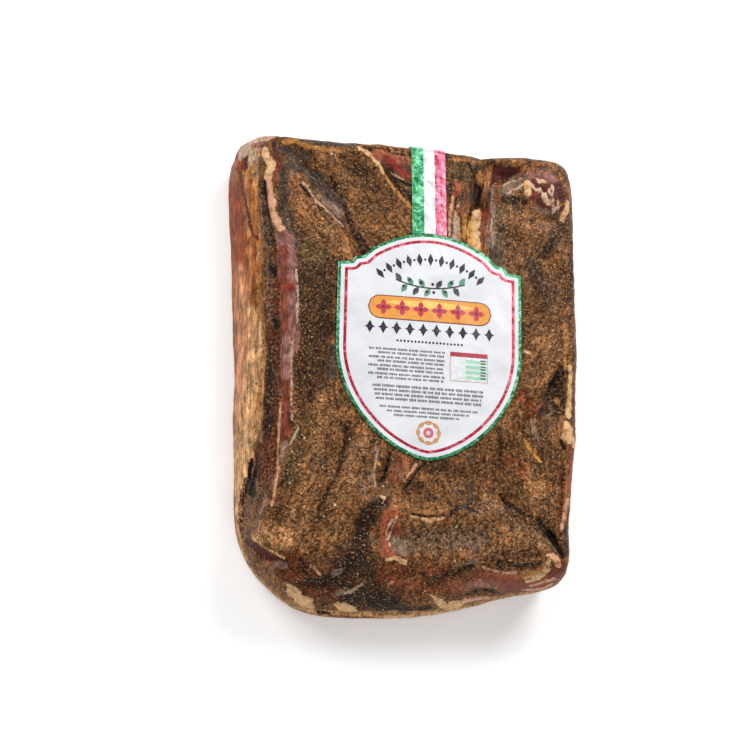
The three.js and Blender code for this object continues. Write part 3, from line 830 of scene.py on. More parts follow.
# %% Marks at the far left
CORNER_MARKS = {
    "film at the corner": ("slate", 6, 0.0, [(281, 149), (294, 155), (305, 156)]),
    "fat at the corner": ("cream fat", 6, 0.5, [(265, 152), (269, 160), (275, 168), (268, 176)]),
    "corner slit": ("maroon", 3.4, -1.0, [(273, 142), (275, 153), (279, 161)]),
    "long slot": ("slot brown", (4, 9), -1.2, [(266, 204), (268, 222), (272, 245), (275, 280), (275, 340)]),
    "long slot, top": ("dark brown", (4, 7), -1.4, [(263, 184), (265, 200), (267, 220), (270, 238)]),
    "slot end": ("black", 3.2, -1.6, [(263, 182), (265, 194)]),
    "broad slot": ("slot brown", (12, 17), -1.0, [(274, 340), (272, 380), (268, 415), (263, 468)]),
    "broad slot, middle": ("dark brown", (4, 8), -0.4, [(268, 345), (268, 395), (262, 430)]),
    "hole in the slot": ("black", 4.4, -2.0, [(270, 268), (273, 270)]),
    "hole lower down": ("black", 2.2, -1.0, [(275, 321), (276, 325)]),
    "film on the slot": ("grey film sheen", 3.4, 0.2, [(257, 426), (260, 440)]),
    "slot foot": ("black", (2.6, 5), -1.6, [(253, 460), (252, 476), (251, 492)]),
    "strip, far end": ("slate", (7, 9), 0.3, [(284, 168), (284, 206), (288, 226), (291, 242), (294, 262)]),
    "strip fat": ("pink fat", (4.5, 6), 1.4, [(270, 182), (270, 196), (273, 212), (278, 224), (281, 232)]),
    "red line": ("red", 2, 0.0, [(278, 166), (275, 172), (275, 182)]),
    "strip": ("mauve", (11, 13), 0.8, [(284, 240), (287, 275), (290, 300), (291, 325), (290, 344)]),
    "strip shade": ("muscle", 2.2, 0.0, [(283, 250), (284, 290), (285, 335)]),
    "red in the strip": ("red", 2.6, 0.0, [(283, 286), (290, 288)]),
    "thread on the strip": ("white film sheen", 1.4, 0.3, [(296, 270), (298, 290), (297, 322)]),
    "strip, near end": ("mauve", (10, 7), 0.5, [(289, 344), (287, 368), (287, 392)]),
    "thread below": ("white film sheen", 1.7, 0.5, [(292, 343), (291, 365), (292, 385), (291, 402), (292, 420)]),
    "muscle in the strip": ("muscle", (4, 7), 0.4, [(286, 385), (286, 415), (285, 442)]),
    "strip foot": ("grey film sheen", 4, 0.2, [(284, 446), (283, 460)]),
    "thread at the foot": ("white film sheen", 1.7, 0.4, [(298, 428), (294, 437), (290, 445)]),
    "edge of the slot": ("pink fat", 1.5, 0.4, [(281, 402), (278, 442), (278, 470), (275, 492), (272, 505)]),
    "film at the near corner": ("grey film sheen", 2, 0.3, [(268, 498), (260, 513), (255, 532)]),
}
FAR_LEFT_MARKS = {
    "film along the edge": ("slate", (5, 3), 0.0, [(296, 140), (330, 144), (358, 147)]),
    "fat along the edge": ("ochre fat", (3.4, 2.2), 0.5, [(284, 142), (296, 141), (306, 146), (340, 152)]),
    "fold": ("slate", (6, 12), -0.4, [(290, 163), (306, 170), (322, 184), (333, 200), (343, 216)]),
    "fold slit": ("dark brown", (3, 7), -0.8, [(331, 178), (342, 200), (350, 222), (360, 242), (370, 256)]),
    "film in the fold": ("grey film sheen", (1.8, 2.6), 0.2, [(318, 195), (327, 204), (340, 213)]),
    "fold lip": ("tan rim", (2, 4), 1.0, [(338, 226), (346, 243), (353, 259)]),
    "thread in the fold": ("white film sheen", 1.3, 0.4, [(303, 182), (316, 201), (330, 213), (343, 226)]),
    "second thread": ("tan rim", 1.5, 0.4, [(292, 178), (302, 189), (310, 199)]),
    "black line": ("black", 1.6, -0.6, [(300, 184), (306, 191), (310, 197)]),
    "film left of the label": ("slate", 6, -0.2, [(331, 350), (332, 376)]),
    "dark edge stretch": ("dark brown", 3, -0.5, [(358, 146), (380, 151), (402, 155)]),
    "rosy patch": ("rosy muscle", 8, 0.3, [(376, 155), (392, 160), (410, 165)]),
    "film on the patch": ("slate", (6, 9), 0.2, [(388, 166), (398, 170), (411, 178)]),
    "red on the patch": ("red", 1.8, 0.3, [(388, 160), (399, 168), (407, 176)]),
    "thread by the ribbon": ("white film sheen", 1.4, 0.4, [(392, 174), (403, 180), (411, 185)]),
    "slit by the ribbon": ("dark brown", (3, 6), -0.9, [(386, 173), (396, 186), (411, 198)]),
    "black by the ribbon": ("black", 1.7, -0.8, [(382, 166), (388, 176), (398, 180), (411, 186)]),
    "fat seam": ("cream fat", (2.6, 3.4), 1.0, [(358, 148), (370, 156), (380, 167), (386, 177)]),
    "fat seam, near end": ("ochre fat", (3, 2.4), 0.9, [(386, 177), (392, 186), (400, 196), (411, 208)]),
}
print(len(CORNER_MARKS) + len(FAR_LEFT_MARKS), "marks at the far left")

# %% Marks at the far right
FAR_RIGHT_MARKS = {
    "edge by the ribbon": ("tan rim", 1.8, 0.3, [(450, 159), (465, 160), (479, 163)]),
    "shade by the ribbon": ("dark brown", 2.4, -1.4, [(451, 180), (450, 196)]),
    "rosy knob": ("rosy muscle", (2, 5), 0.8, [(455, 180), (459, 188)]),
    "red by the ribbon": ("red", (3.4, 2), 0.3, [(455, 194), (452, 205), (451, 216)]),
    "pink by the ribbon": ("pink fat", (2.4, 2), 0.4, [(453, 198), (450, 214), (449, 236)]),
    "white by the label": ("white film sheen", (4, 6), 0.4, [(459, 206), (457, 222), (456, 240)]),
    "slit in the white": ("black", 1.4, -1.2, [(456, 198), (455, 208), (459, 214)]),
    "tan ridge": ("brown muscle", (4.6, 5.4), 1.0, [(468, 186), (466, 200), (462, 212)]),
    "ridge foot": ("ochre fat", 3, 0.5, [(465, 215), (464, 238)]),
    "slate beside the cleft": ("slate", 3, 0.1, [(474, 184), (472, 200)]),
    "cleft": ("black", 2.4, -1.8, [(469, 164), (476, 175), (478, 195), (473, 208), (469, 222), (469, 242)]),
    "cleft shade": ("dark brown", 3, -1.4, [(478, 170), (479, 190), (477, 206)]),
    "knob of fat": ("ochre fat", 5.6, 1.0, [(482, 174), (484, 186)]),
    "maroon hollow": ("maroon", 9, -1.2, [(488, 170), (505, 174), (518, 174), (528, 172)]),
    "maroon band": ("maroon", 8, -0.6, [(490, 168), (490, 190), (486, 212)]),
    "dull band": ("muscle", (6, 5), -0.2, [(486, 205), (484, 226), (482, 246)]),
    "rim of the band": ("tan rim", 1.4, 0.3, [(489, 164), (485, 186), (481, 204)]),
    "fat by the label": ("cream fat", (6, 8.5), 1.3, [(477, 214), (474, 228), (475, 246)]),
    "yellow by the label": ("yellow fat", 1.4, 0.4, [(470, 218), (468, 232), (469, 244)]),
    "slate right of the fat": ("slate", 5, 0.0, [(495, 234), (493, 254), (500, 263)]),
    "grey ridge": ("grey film sheen", (2, 3.4), 0.6, [(494, 188), (492, 205), (494, 215), (492, 228), (490, 244)]),
    "thread on the ridge": ("white film sheen", 1.3, 0.5, [(493, 190), (491, 206), (493, 217), (490, 232)]),
    "dull patch": ("muscle", 3.4, 0.0, [(500, 186), (499, 200)]),
    "slot under the oval": ("dark brown", 7, -0.3, [(506, 198), (524, 200)]),
    "cut muscle": ("wine muscle", 24, 0.0, [(541, 188), (553, 197)]),
    "pale muscle": ("mauve", 3, 0.2, [(526, 175), (542, 172), (556, 180)]),
    "rim of the cut": ("tan rim", 1.7, 0.4, [(525, 170), (535, 165), (548, 163), (558, 170), (569, 198)]),
    "dark foot of the cut": ("maroon", 5, 0.0, [(538, 204), (547, 207), (558, 205)]),
    "dark side of the cut": ("maroon", 4, 0.0, [(558, 186), (562, 200)]),
    "film under the cut": ("grey film sheen", 2, 0.3, [(533, 209), (542, 214), (558, 217)]),
    "film beside the cut": ("grey film sheen", 7.6, 0.3, [(507, 190), (514, 186), (522, 182)]),
    "upper thread": ("white film sheen", 1.7, 0.4, [(503, 186), (511, 182), (521, 178)]),
    "lower thread": ("white film sheen", 1.6, 0.4, [(508, 194), (516, 190), (524, 184)]),
    "fat at the cut": ("cream fat", 4.4, 1.0, [(528, 184), (528, 194)]),
    "fat at the edge": ("cream fat", 3.6, 0.4, [(568, 203), (566, 212), (562, 219)]),
}
CRYSTAL_PATH = [(538, 184), (546, 190), (549, 200), (556, 207)]
RIGHT_MARKS = {
    "crumb of fat": ("cream fat", 2, 0.5, [(525, 351), (529, 353)]),
    "fat edge, far": ("ochre fat", 2.4, 0.3, [(566, 326), (566, 345), (565, 366), (561, 384)]),
    "hollow": ("dark brown", (6, 14), -1.4, [(561, 371), (557, 384), (555, 398)]),
    "hollow, deepest": ("black", 3.2, -0.8, [(558, 370), (553, 384)]),
    "hollow, foot": ("dark brown", (9, 4), -1.0, [(552, 402), (546, 410), (538, 413)]),
    "fat in the hollow": ("ochre fat", 3, 0.6, [(556, 399), (558, 402)]),
    "fat edge, middle": ("cream fat", (2.4, 4), 0.4, [(570, 366), (570, 382), (569, 400), (568, 416)]),
    "tan edge": ("tan rim", 3.4, 0.2, [(562, 418), (561, 430)]),
    "fat edge, near": ("cream fat", (5.6, 7.4), 1.0, [(566, 424), (568, 435), (571, 444)]),
    "hole at the edge": ("black", 3.6, -1.0, [(560, 441), (564, 447)]),
    "film beside a slit": ("grey film sheen", 2.6, 0.4, [(531, 422), (535, 434), (539, 442)]),
    "slit": ("dark brown", 2, -0.6, [(537, 424), (541, 436)]),
    "fat thread": ("yellow fat", 1.9, 0.6, [(525, 441), (530, 450), (536, 457), (541, 462)]),
    "slot along the edge": ("slot brown", 3.4, -0.8, [(563, 462), (563, 480), (562, 500), (560, 518)]),
    "rosy edge": ("rosy muscle", 2.6, 0.3, [(569, 447), (570, 470), (568, 492)]),
    "pink edge": ("pink fat", 2.6, 0.4, [(567, 500), (564, 518), (562, 530)]),
    "slate edge": ("slate", 4, 0.1, [(566, 528), (567, 542), (564, 554)]),
    "groove": ("dark brown", 2.6, -0.8, [(500, 494), (507, 502), (516, 509), (530, 516), (541, 525)]),
    "groove, start": ("black", 2.4, -2.0, [(502, 498), (509, 506)]),
    "slit at the corner": ("black", 2.8, -2.4, [(549, 534), (555, 543), (562, 556)]),
    "film at the corner slit": ("grey film sheen", 1.5, 0.4, [(547, 540), (554, 549), (560, 556)]),
    "seam in the crust": ("slate", 1.8, -0.6, [(470, 446), (472, 470), (471, 492)]),
}
print(len(FAR_RIGHT_MARKS) + len(RIGHT_MARKS), "marks at the right")

# %% Marks at the near side
NEAR_MARKS = {
    "long furrow": ("dark brown", 2.6, -0.9, [(348, 424), (346, 442), (336, 478), (326, 492), (318, 512)]),
    "film by the label": ("grey film sheen", 2, 0.4, [(360, 426), (366, 433)]),
    "film ridge": ("grey film sheen", 3.4, 0.4, [(378, 446), (376, 462), (372, 478), (374, 486)]),
    "thread on the film": ("white film sheen", 1.5, 0.5, [(381, 444), (376, 458), (373, 474), (375, 485)]),
    "yellow crumb": ("yellow fat", 2.6, 0.5, [(379, 464), (380, 465)]),
    "slot below the label": ("slot brown", 3.4, -1.4, [(391, 450), (387, 466), (381, 480)]),
    "slot below, deepest": ("black", 1.8, -1.2, [(390, 456), (384, 472), (380, 480)]),
    "brown tongue": ("brown muscle", 9, 0.2, [(402, 460), (399, 470), (394, 478)]),
    "pink thread": ("pink fat", 1.5, 0.4, [(417, 464), (409, 474), (404, 482)]),
    "tongue slit": ("black", 1.6, -0.8, [(425, 463), (418, 470), (410, 482), (404, 490)]),
    "dark start of the patch": ("dark brown", (4, 8), -0.6, [(380, 504), (368, 512), (362, 526)]),
    "fat crumb": ("cream fat", 2.6, 0.6, [(382, 497), (384, 498)]),
    "upper fat crumb": ("cream fat", 2.2, 0.6, [(383, 486), (384, 487)]),
    "ledge, left": ("tan rim", 2.6, 0.5, [(384, 513), (394, 508), (408, 506)]),
    "bare patch": ("rosy muscle", 14, 0.1, [(391, 520), (390, 535), (390, 550)]),
    "patch core": ("muscle", 3.6, 0.0, [(393, 522), (394, 540)]),
    "patch thread": ("pink fat", 1.5, 0.4, [(392, 520), (386, 532), (390, 546)]),
    "second patch thread": ("white film sheen", 1.5, 0.4, [(397, 517), (391, 530), (388, 540)]),
    "film right of the patch": ("grey film sheen", 7, 0.2, [(398, 542), (404, 552)]),
    "fat below the patch": ("cream fat", (2, 3.6), 0.9, [(387, 560), (395, 558), (404, 562)]),
    "ledge, right": ("tan rim", 2.2, 0.5, [(408, 513), (424, 513), (440, 512), (452, 508)]),
    "fat on the ledge": ("cream fat", (2, 3.2), 1.0, [(411, 516), (421, 518), (430, 522), (434, 517)]),
    "fat on the ledge, right": ("cream fat", 1.8, 0.8, [(438, 519), (450, 516)]),
    "shade of the ledge": ("black", 1.7, -0.8, [(412, 514), (424, 516), (436, 516), (446, 515)]),
    "groove from the ledge": ("dark brown", 3, -0.5, [(450, 516), (456, 508), (466, 506), (476, 512)]),
}
NEAR_WALL_MARKS = {
    "maroon slot": ("maroon", (5, 7), -1.4, [(248, 542), (258, 550), (268, 558), (284, 564)]),
    "lip of the slot": ("cream fat", 1.5, 0.4, [(252, 537), (264, 547), (276, 554), (284, 558)]),
    "film under the slot": ("grey film sheen", 1.7, 0.4, [(270, 568), (278, 566), (284, 568)]),
    "wall furrow": ("dark brown", 3.4, -0.6, [(300, 560), (304, 570), (312, 578)]),
    "pink on the wall": ("pink fat", 1.6, 0.4, [(313, 566), (320, 575)]),
    "wall slot": ("dark brown", 4, -0.6, [(300, 586), (306, 582), (318, 582), (328, 586)]),
    "fat, left": ("cream fat", (6, 10), 0.7, [(289, 588), (298, 597), (308, 605)]),
    "fat, middle": ("cream fat", (5, 9), 0.7, [(338, 605), (345, 608), (351, 613)]),
    "film over the fat": ("grey film sheen", (2.4, 6), 0.5, [(334, 595), (341, 592), (347, 590)]),
    "thread over the fat": ("white film sheen", (2.4, 2), 0.5, [(345, 592), (353, 590), (362, 584)]),
    "film patch": ("grey film sheen", 4, 0.3, [(334, 573), (340, 570)]),
    "fat crumb on the wall": ("cream fat", 2.2, 0.6, [(357, 573), (358, 574)]),
    "pink crumb": ("pink fat", 2.4, 0.4, [(388, 583), (393, 582)]),
    "rosy crumb": ("rosy muscle", 3.4, 0.3, [(410, 588), (418, 584)]),
    "film on the wall": ("grey film sheen", 2.2, 0.4, [(456, 566), (464, 564), (478, 561)]),
    "shade right": ("dark brown", 3, -0.4, [(498, 562), (520, 566), (541, 563)]),
    "brown bundle": ("brown muscle", (8, 12), 0.0, [(448, 590), (466, 584), (484, 578)]),
    "rosy bundle": ("rosy muscle", (9, 12), 0.0, [(484, 580), (505, 580), (522, 582)]),
    "mauve bundle": ("mauve", 3, 0.2, [(470, 588), (480, 585), (494, 584)]),
    "pink line": ("pink fat", 1.9, 0.5, [(482, 567), (495, 571), (508, 573), (516, 572)]),
    "muscle bundle": ("muscle", (8, 11), 0.1, [(508, 592), (528, 588), (546, 580), (560, 566)]),
    "red bundle": ("red", 2.6, 0.0, [(500, 598), (524, 594), (548, 588)]),
    "bundle slit": ("dark brown", 2.8, -1.6, [(468, 596), (478, 591), (494, 592), (501, 596)]),
    "bundle slit, deepest": ("black", 1.6, -1.2, [(478, 591), (492, 593)]),
    "fat under the slit": ("pink fat", 2.4, 0.4, [(458, 602), (474, 599), (490, 598), (502, 597)]),
    "brown foot": ("brown muscle", 2.6, 0.2, [(470, 606), (484, 602), (500, 600)]),
    "slate foot": ("slate", 5, 0.0, [(497, 602), (505, 600)]),
    "fat, right": ("cream fat", (2, 9), 1.2, [(432, 595), (438, 600), (446, 607), (456, 606)]),
    "dark foot": ("dark brown", 4, 0.0, [(398, 608), (412, 611), (428, 608)]),
    "upper pink line": ("pink fat", 1.6, 0.4, [(530, 586), (542, 582), (554, 578)]),
    "lower pink line": ("pink fat", 1.4, 0.4, [(522, 590), (540, 589), (552, 584)]),
    "ochre flap": ("ochre fat", 5, 0.3, [(524, 575), (535, 573), (545, 567)]),
    "pink flap": ("pink fat", 4.6, 0.5, [(549, 556), (556, 557), (558, 565)]),
    "rim of the flap": ("cream fat", 1.9, 0.8, [(526, 581), (538, 578), (548, 570), (549, 558)]),
}
print(len(NEAR_MARKS) + len(NEAR_WALL_MARKS), "marks at the near side")

# %% [markdown]
# ## The lean and its crust
# The top of this piece is seen most, so its rows crowd there: a few rows under the label,
# then many out to the rim, then the wall down to the seam, and last the hidden dish.

# %% Shape of the lean
SPOKES = 840
FACE_ROWS = 74
WALL_ROWS = 34
u = directions(SPOKES)
rim_reach = reach(u, 1.0)
rim_height = dome_height(u[:, 0] * rim_reach, u[:, 1] * rim_reach)
seam = seam_height(u)

face_shares = np.concatenate([[0.12, 0.26, 0.38], np.linspace(0.46, 1.0, FACE_ROWS)])[:, None]
face_x, face_y = face_shares * rim_reach * u[:, 0], face_shares * rim_reach * u[:, 1]
face_rows = np.stack([face_x, face_y, dome_height(face_x, face_y) + relief(face_x, face_y)], -1)

wall_shares = (1.0 - np.linspace(0.0, 1.0, WALL_ROWS + 1)[1:] ** 1.7)[:, None]
wall_heights = seam + LAYER_GAP + (rim_height - seam - LAYER_GAP) * wall_shares
wall_rows = wall_point(u[None], wall_heights)
wall_rows[..., 2] += relief(wall_rows[..., 0], wall_rows[..., 1]) * wall_shares**3

seam_edge = wall_point(u, seam)


def dish(shares, lift):
    """Rows from the seam in to the middle of the hidden dish: the seam's outline times a share,
    and the height above the dish's floor times the share to the fifth power."""
    shares = np.array(shares)[:, None, None]
    height = FAT_FLOOR + lift + (seam_edge[None, :, 2:] - FAT_FLOOR) * shares**5
    return np.concatenate([seam_edge[None, :, :2] * shares, height], -1)


dish_rows = dish([0.97, 0.9, 0.75, 0.5, 0.25], LAYER_GAP)
lean_grid = np.concatenate([face_rows, wall_rows, dish_rows])
lean_normals = grid_normals(lean_grid, BLOCK_MIDDLE)
print("lean grid", lean_grid.shape[:2])

# %% Colour of the lean
flat_points = lean_grid.reshape(-1, 3)
flat_normals = lean_normals.reshape(-1, 3)
# Painted shade and light: the crust's tint is darker in the hollows of the relief and lighter on its ridges,
# on top of its random patches.
relief_shade = np.clip(relief(flat_points[:, 0], flat_points[:, 1]), -6.0, 5.0)
patches = 1.0 + 0.5 * rough(flat_points, 26.0, 4, 40) + 0.55 * rough(flat_points, 9.0, 3, 43) + 0.06 * relief_shade
crust_tint = linear(FINISHES["brown crust"][1]) * np.clip(patches, 0.3, 1.9)[:, None]
coat = new_coat(crust_tint, np.full(len(flat_points), 1.0))

# Patches for the walls that the photograph doesn't show: finish, size, threshold, rise in mm
HIDDEN_PATCHES = {
    "brown": ("brown muscle", 24.0, 0.12, 0.2),
    "bare": ("muscle", 20.0, 0.28, 0.2),
    "fat": ("cream fat", 13.0, 0.36, 0.4),
    # The slots are painted shade in random hollows of the unseen walls.
    "slots": ("slot brown", 15.0, 0.34, -1.0),
}
hidden = smooth((0.02 - flat_normals @ toward_camera) / 0.2) * (flat_points[:, 2] > 20.0)
for seed, (finish, size, threshold, rise) in enumerate(HIDDEN_PATCHES.values(), 51):
    depth = (rough(flat_points * [1.0, 1.0, 2.2], size, 3, seed) - threshold) * size
    lay(coat, slice(None), finish, depth, hidden, rise)
lean_marks = (TONES, CORNER_MARKS, FAR_LEFT_MARKS, FAR_RIGHT_MARKS, RIGHT_MARKS, NEAR_MARKS, NEAR_WALL_MARKS)
for group, marks in enumerate(lean_marks):
    brush(coat, flat_points, flat_normals, marks, 100 + 50 * group)

# Pale grains in the cut muscle, from noise that fades away from their path
GRAIN_SIZE, GRAIN_THRESHOLD, GRAIN_SLOPE = 3.2, 0.12, 6.0
flat_pixels = photo_pixels(flat_points)
crystal_distance = along_path(flat_pixels, CRYSTAL_PATH)[0] * PIXEL_SIZE
crystals = rough(flat_points, GRAIN_SIZE, 2, 77) - GRAIN_THRESHOLD - smooth((crystal_distance - 4.0) / 4.0)
lay(coat, slice(None), "pale grains", GRAIN_SLOPE * crystals, (flat_points[:, 2] > 50.0) * 1.0, 0.3)

# The grain leans to the left over the far left, and to the right over the far right and the
# near left: smooth steps over x and y, in millimetres.
at_x, at_y = flat_points[:, 0], flat_points[:, 1]
grain_far_left = smooth((at_y - 40.0) / 40.0) * smooth((30.0 - at_x) / 30.0)
grain_far_right = smooth((at_x - 62.0) / 26.0) * smooth((at_y + 40.0) / 40.0)
grain_near_left = smooth((-55.0 - at_y) / 26.0) * smooth((0.0 - at_x) / 34.0)
grain_right = np.maximum(grain_far_right, grain_near_left)

# %% Crumbly surface of the lean
free = 1.0 - pressed(flat_points[:, 0], flat_points[:, 1])
crumble = 0.55 * rough(flat_points, 9.0, 2, 5) + 0.4 * rough(flat_points, 4.0, 2, 9)
push = (coat["lift"] + crumble * (0.35 + 0.65 * coat["spice"])) * free
push = push.reshape(lean_grid.shape[:2])
push[-len(dish_rows) - 1:] = 0.0
lean_points = lean_grid + lean_normals * push[..., None]
first_end = np.array([[0.0, 0.0, THICKNESS]])
last_end = np.array([[0.0, 0.0, FAT_FLOOR + LAYER_GAP]])
lean_vertices = np.concatenate([first_end, lean_points.reshape(-1, 3), last_end])
lean_faces = closed_faces(len(lean_grid), SPOKES)
lean = add_piece("spiced_lean", lean_vertices, lean_faces, crust_material)


def store_coat(piece, coat, grain_far_left, grain_right):
    """Stores the coat on a piece whose first and last points close its ends."""
    values = {key: coat[key] for key in coat if key != "lift"}
    values.update(grain_far_left=grain_far_left, grain_right=grain_right)
    for key, value in values.items():
        store(piece, key, np.concatenate([value[:1], value, value[-1:]]))


store_coat(lean, coat, grain_far_left, grain_right)
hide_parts("lean_meat")

# %% [markdown]
# ## Fat and rind
# The rind is the pig's skin, smoked to an orange brown, and the fat shows above it as a pale
# band up to the seam. The rows run from the middle of the flat underside, out to the foot, up
# the wall to the lip and in over the hidden dish. Where the photograph shows no side, the
# band of fat keeps the same width below the seam.

# %% Marks on the fat and rind
RIND_MARKS = {
    "brown skin": ("rind brown", 12, 0.0, [(234, 190), (238, 230), (242, 280)]),
    "ochre skin": ("rind ochre", (6, 9), 0.0, [(250, 180), (253, 215), (255, 260), (256, 300)]),
    "salmon skin": ("rind salmon", (6, 9), 0.0, [(240, 270), (242, 320), (243, 370), (240, 410)]),
    "cream skin": ("rind cream", (11, 16), 0.2, [(258, 330), (254, 380), (247, 430), (241, 480)]),
    "cream skin, near": ("rind cream", (12, 7), 0.0, [(240, 460), (237, 490), (233, 512)]),
    "fat at the far corner": ("ochre fat", 8, 0.5, [(250, 172), (255, 162), (262, 157)]),
    "film at the far corner": ("grey film sheen", 4, 0.2, [(260, 158), (262, 168), (256, 174)]),
    "ochre line": ("ochre fat", (3.4, 4.6), 0.3, [(258, 182), (260, 205), (262, 226)]),
    "cream line": ("cream fat", (2, 5), 0.4, [(261, 228), (261, 245), (262, 262)]),
    "yellow line": ("yellow fat", (3.2, 2.6), 0.6, [(265, 242), (267, 268), (265, 290), (264, 312)]),
    "ochre stretch": ("ochre fat", 4, 0.2, [(259, 280), (262, 310), (265, 335)]),
    "ochre stretch, near": ("ochre fat", (3, 2.4), 0.2, [(264, 345), (261, 380), (257, 410), (254, 428)]),
    "white cap": ("white film sheen", 7.6, 1.6, [(248, 158), (250, 148), (262, 141), (276, 139)]),
    "mauve cap": ("mauve", 4, 0.2, [(256, 147), (266, 143), (276, 144)]),
    "brown cap": ("rind brown", 5.4, 2.4, [(240, 146), (241, 158), (240, 170)]),
    "slit under the cap": ("maroon", 3, -0.8, [(248, 158), (246, 168)]),
    "crease": ("slot brown", 1.8, -1.5, [(240, 172), (242, 190), (246, 208), (249, 224), (252, 236)]),
    "crease foot": ("slot brown", 2, -0.6, [(252, 237), (257, 238)]),
    # The dark marks in slot finishes are painted shade, in dents of the rind and towards its near corner.
    "dark mark": ("slot brown", (3.4, 6), -0.4, [(246, 480), (243, 500), (242, 520)]),
    "black stain": ("black", 3.6, -0.5, [(252, 462), (250, 478), (249, 490)]),
    "maroon stain": ("maroon", 4.6, -0.3, [(244, 508), (243, 518)]),
    "near stain": ("slot brown", (4, 4.6), 0.0, [(240, 522), (246, 536), (252, 548)]),
    "near fat": ("ochre fat", (2, 4), 0.2, [(238, 540), (252, 560), (268, 574), (284, 588), (300, 603)]),
    "near cream": ("cream fat", (1.6, 2.8), 0.1, [(282, 590), (296, 602), (312, 611)]),
    "dark foot": ("dark brown", 2.8, 0.0, [(318, 612), (330, 614)]),
    "brown foot": ("brown muscle", 2, 0.0, [(330, 616), (345, 618), (372, 618)]),
    "cream foot": ("cream fat", 2.8, 0.2, [(385, 617), (410, 616), (440, 612), (470, 608), (500, 605)]),
}

# %% Shape of the fat and rind
RIND_WALL_ROWS = 60
foot_reach = reach(u, 0.0)


def foot_row(share, height):
    """A row round the foot: the outline pulled in under the widest height by a parabola."""
    distance = (foot_reach - UNDERSIDE_INSET * (1.0 - height / WIDEST_HEIGHT) ** 2) * share
    return np.stack([u[:, 0] * distance, u[:, 1] * distance, np.full(SPOKES, float(height))], -1)


under_rows = [foot_row(share, 0.0) for share in (0.2, 0.4, 0.6, 0.75, 0.88, 0.96, 1.0)]
foot_rows = [foot_row(1.0, h) for h in (1.2, 2.6, 4.2, 6.0, 8.0)]
lip = seam - SEAM_LIP
wall_steps = np.linspace(0.0, 1.0, RIND_WALL_ROWS)[:, None]
side_rows = wall_point(u[None], WIDEST_HEIGHT + (lip - WIDEST_HEIGHT) * wall_steps)
inner_rows = dish([1.0, 0.97, 0.9, 0.75, 0.5, 0.25], 0.0)
fat_grid = np.concatenate([np.stack(under_rows + foot_rows), side_rows, inner_rows])
fat_normals = grid_normals(fat_grid, np.array([0.0, 0.0, 20.0]))
fat_points = fat_grid.reshape(-1, 3)
flat_fat_normals = fat_normals.reshape(-1, 3)
print("fat grid", fat_grid.shape[:2])

# %% Colour of the fat and rind
FAT_BAND = 11.0  # width of the pale band under the seam
SKIN_COLOUR, BAND_COLOUR = linear((148, 90, 54)), linear((184, 138, 92))
lip_everywhere = np.tile(lip, len(fat_grid))
above = fat_points[:, 2] - lip_everywhere + FAT_BAND + 3.0 * rough(fat_points, 16.0, 2, 31)
band = smooth(above / 4.0)[:, None]
skin = SKIN_COLOUR * (1.0 - band) + BAND_COLOUR * band
drawn_out = fat_points * np.array([1.0, 0.18, 1.0])
streaks = space_noise(drawn_out, 3.0, 3) + 0.6 * space_noise(drawn_out, 1.4, 4)
uneven = 0.12 * streaks + 0.28 * rough(fat_points, 22.0, 3, 8) + 0.2 * rough(fat_points, 7.0, 3, 9)
skin = skin * (1.0 + uneven)[:, None]
fat_coat = new_coat(skin, 0.13 + 0.18 * smooth(rough(fat_points, 18.0, 2, 12) + 0.4) + 0.1 * band[:, 0])
brush(fat_coat, fat_points, flat_fat_normals, RIND_MARKS, 400)
push = fat_coat["lift"] + 0.5 * rough(fat_points, 9.0, 3, 21) + 0.12 * streaks
push = push.reshape(fat_grid.shape[:2])
flat_rows = len(under_rows)
push[:flat_rows] = 0.0
push[flat_rows:flat_rows + len(foot_rows)] *= np.linspace(0.2, 1.0, len(foot_rows))[:, None]
push[-len(inner_rows) - 1:] = 0.0
fat_surface = fat_grid + fat_normals * push[..., None]
fat_vertices = np.concatenate([[[0.0, 0.0, 0.0]], fat_surface.reshape(-1, 3), [[0.0, 0.0, FAT_FLOOR]]])
fat_faces = closed_faces(len(fat_grid), SPOKES)
fat = add_piece("fat_and_rind", fat_vertices, fat_faces, rind_material)
straight = np.zeros(len(fat_points))
store_coat(fat, fat_coat, straight, straight)
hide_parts("fat_layer")

# %% [markdown]
# ## Loose crumbs of spice
# Cracked pepper and crushed herbs are small angular chips. Each chip is an octahedron with
# its six corners moved at random, pressed flat into the crust by the film. Thousands of them
# are joined in one mesh for each kind, because separate objects would be slow to handle.

# %% Crumbs of spice
CORNERS = np.array([(1, 0, 0), (-1, 0, 0), (0, 1, 0), (0, -1, 0), (0, 0, 1), (0, 0, -1)], float)
CHIP_FACES = np.array([
    (0, 2, 4), (2, 1, 4), (1, 3, 4), (3, 0, 4), (2, 0, 5), (1, 2, 5), (3, 1, 5), (0, 3, 5),
])
CHIP_FLATNESS = 0.5
CHIP_SUNK = 0.08  # of its size
CHIP_SIZE_SPREAD = 0.35
random = np.random.default_rng(7)


def crumb_places(vertices, rows, spokes, weight, count):
    """Random places on a grid of rows: quads are drawn in proportion to their area and weight,
    and a point in each is a random blend of its corners."""
    grid = vertices[1:-1].reshape(rows, spokes, 3)
    right = np.roll(grid, -1, 1)
    a, b, c, d = grid[:-1], grid[1:], right[1:], right[:-1]
    normal = np.cross(c - a, d - b)
    area = np.linalg.norm(normal, axis=-1) / 2.0
    normal = normal / (2.0 * area[..., None] + 1e-12)
    odds = (area * weight.reshape(rows, spokes)[:-1]).ravel()
    chosen = random.choice(len(odds), count, p=odds / odds.sum())
    k, j = np.unravel_index(chosen, area.shape)
    s, t = random.random((2, count, 1))
    place = (a[k, j] * (1 - s) + b[k, j] * s) * (1 - t) + (d[k, j] * (1 - s) + c[k, j] * s) * t
    up = normal[k, j]
    facing = np.sign(np.einsum("ij,ij->i", up, place - BLOCK_MIDDLE))
    return place, up * facing[:, None]


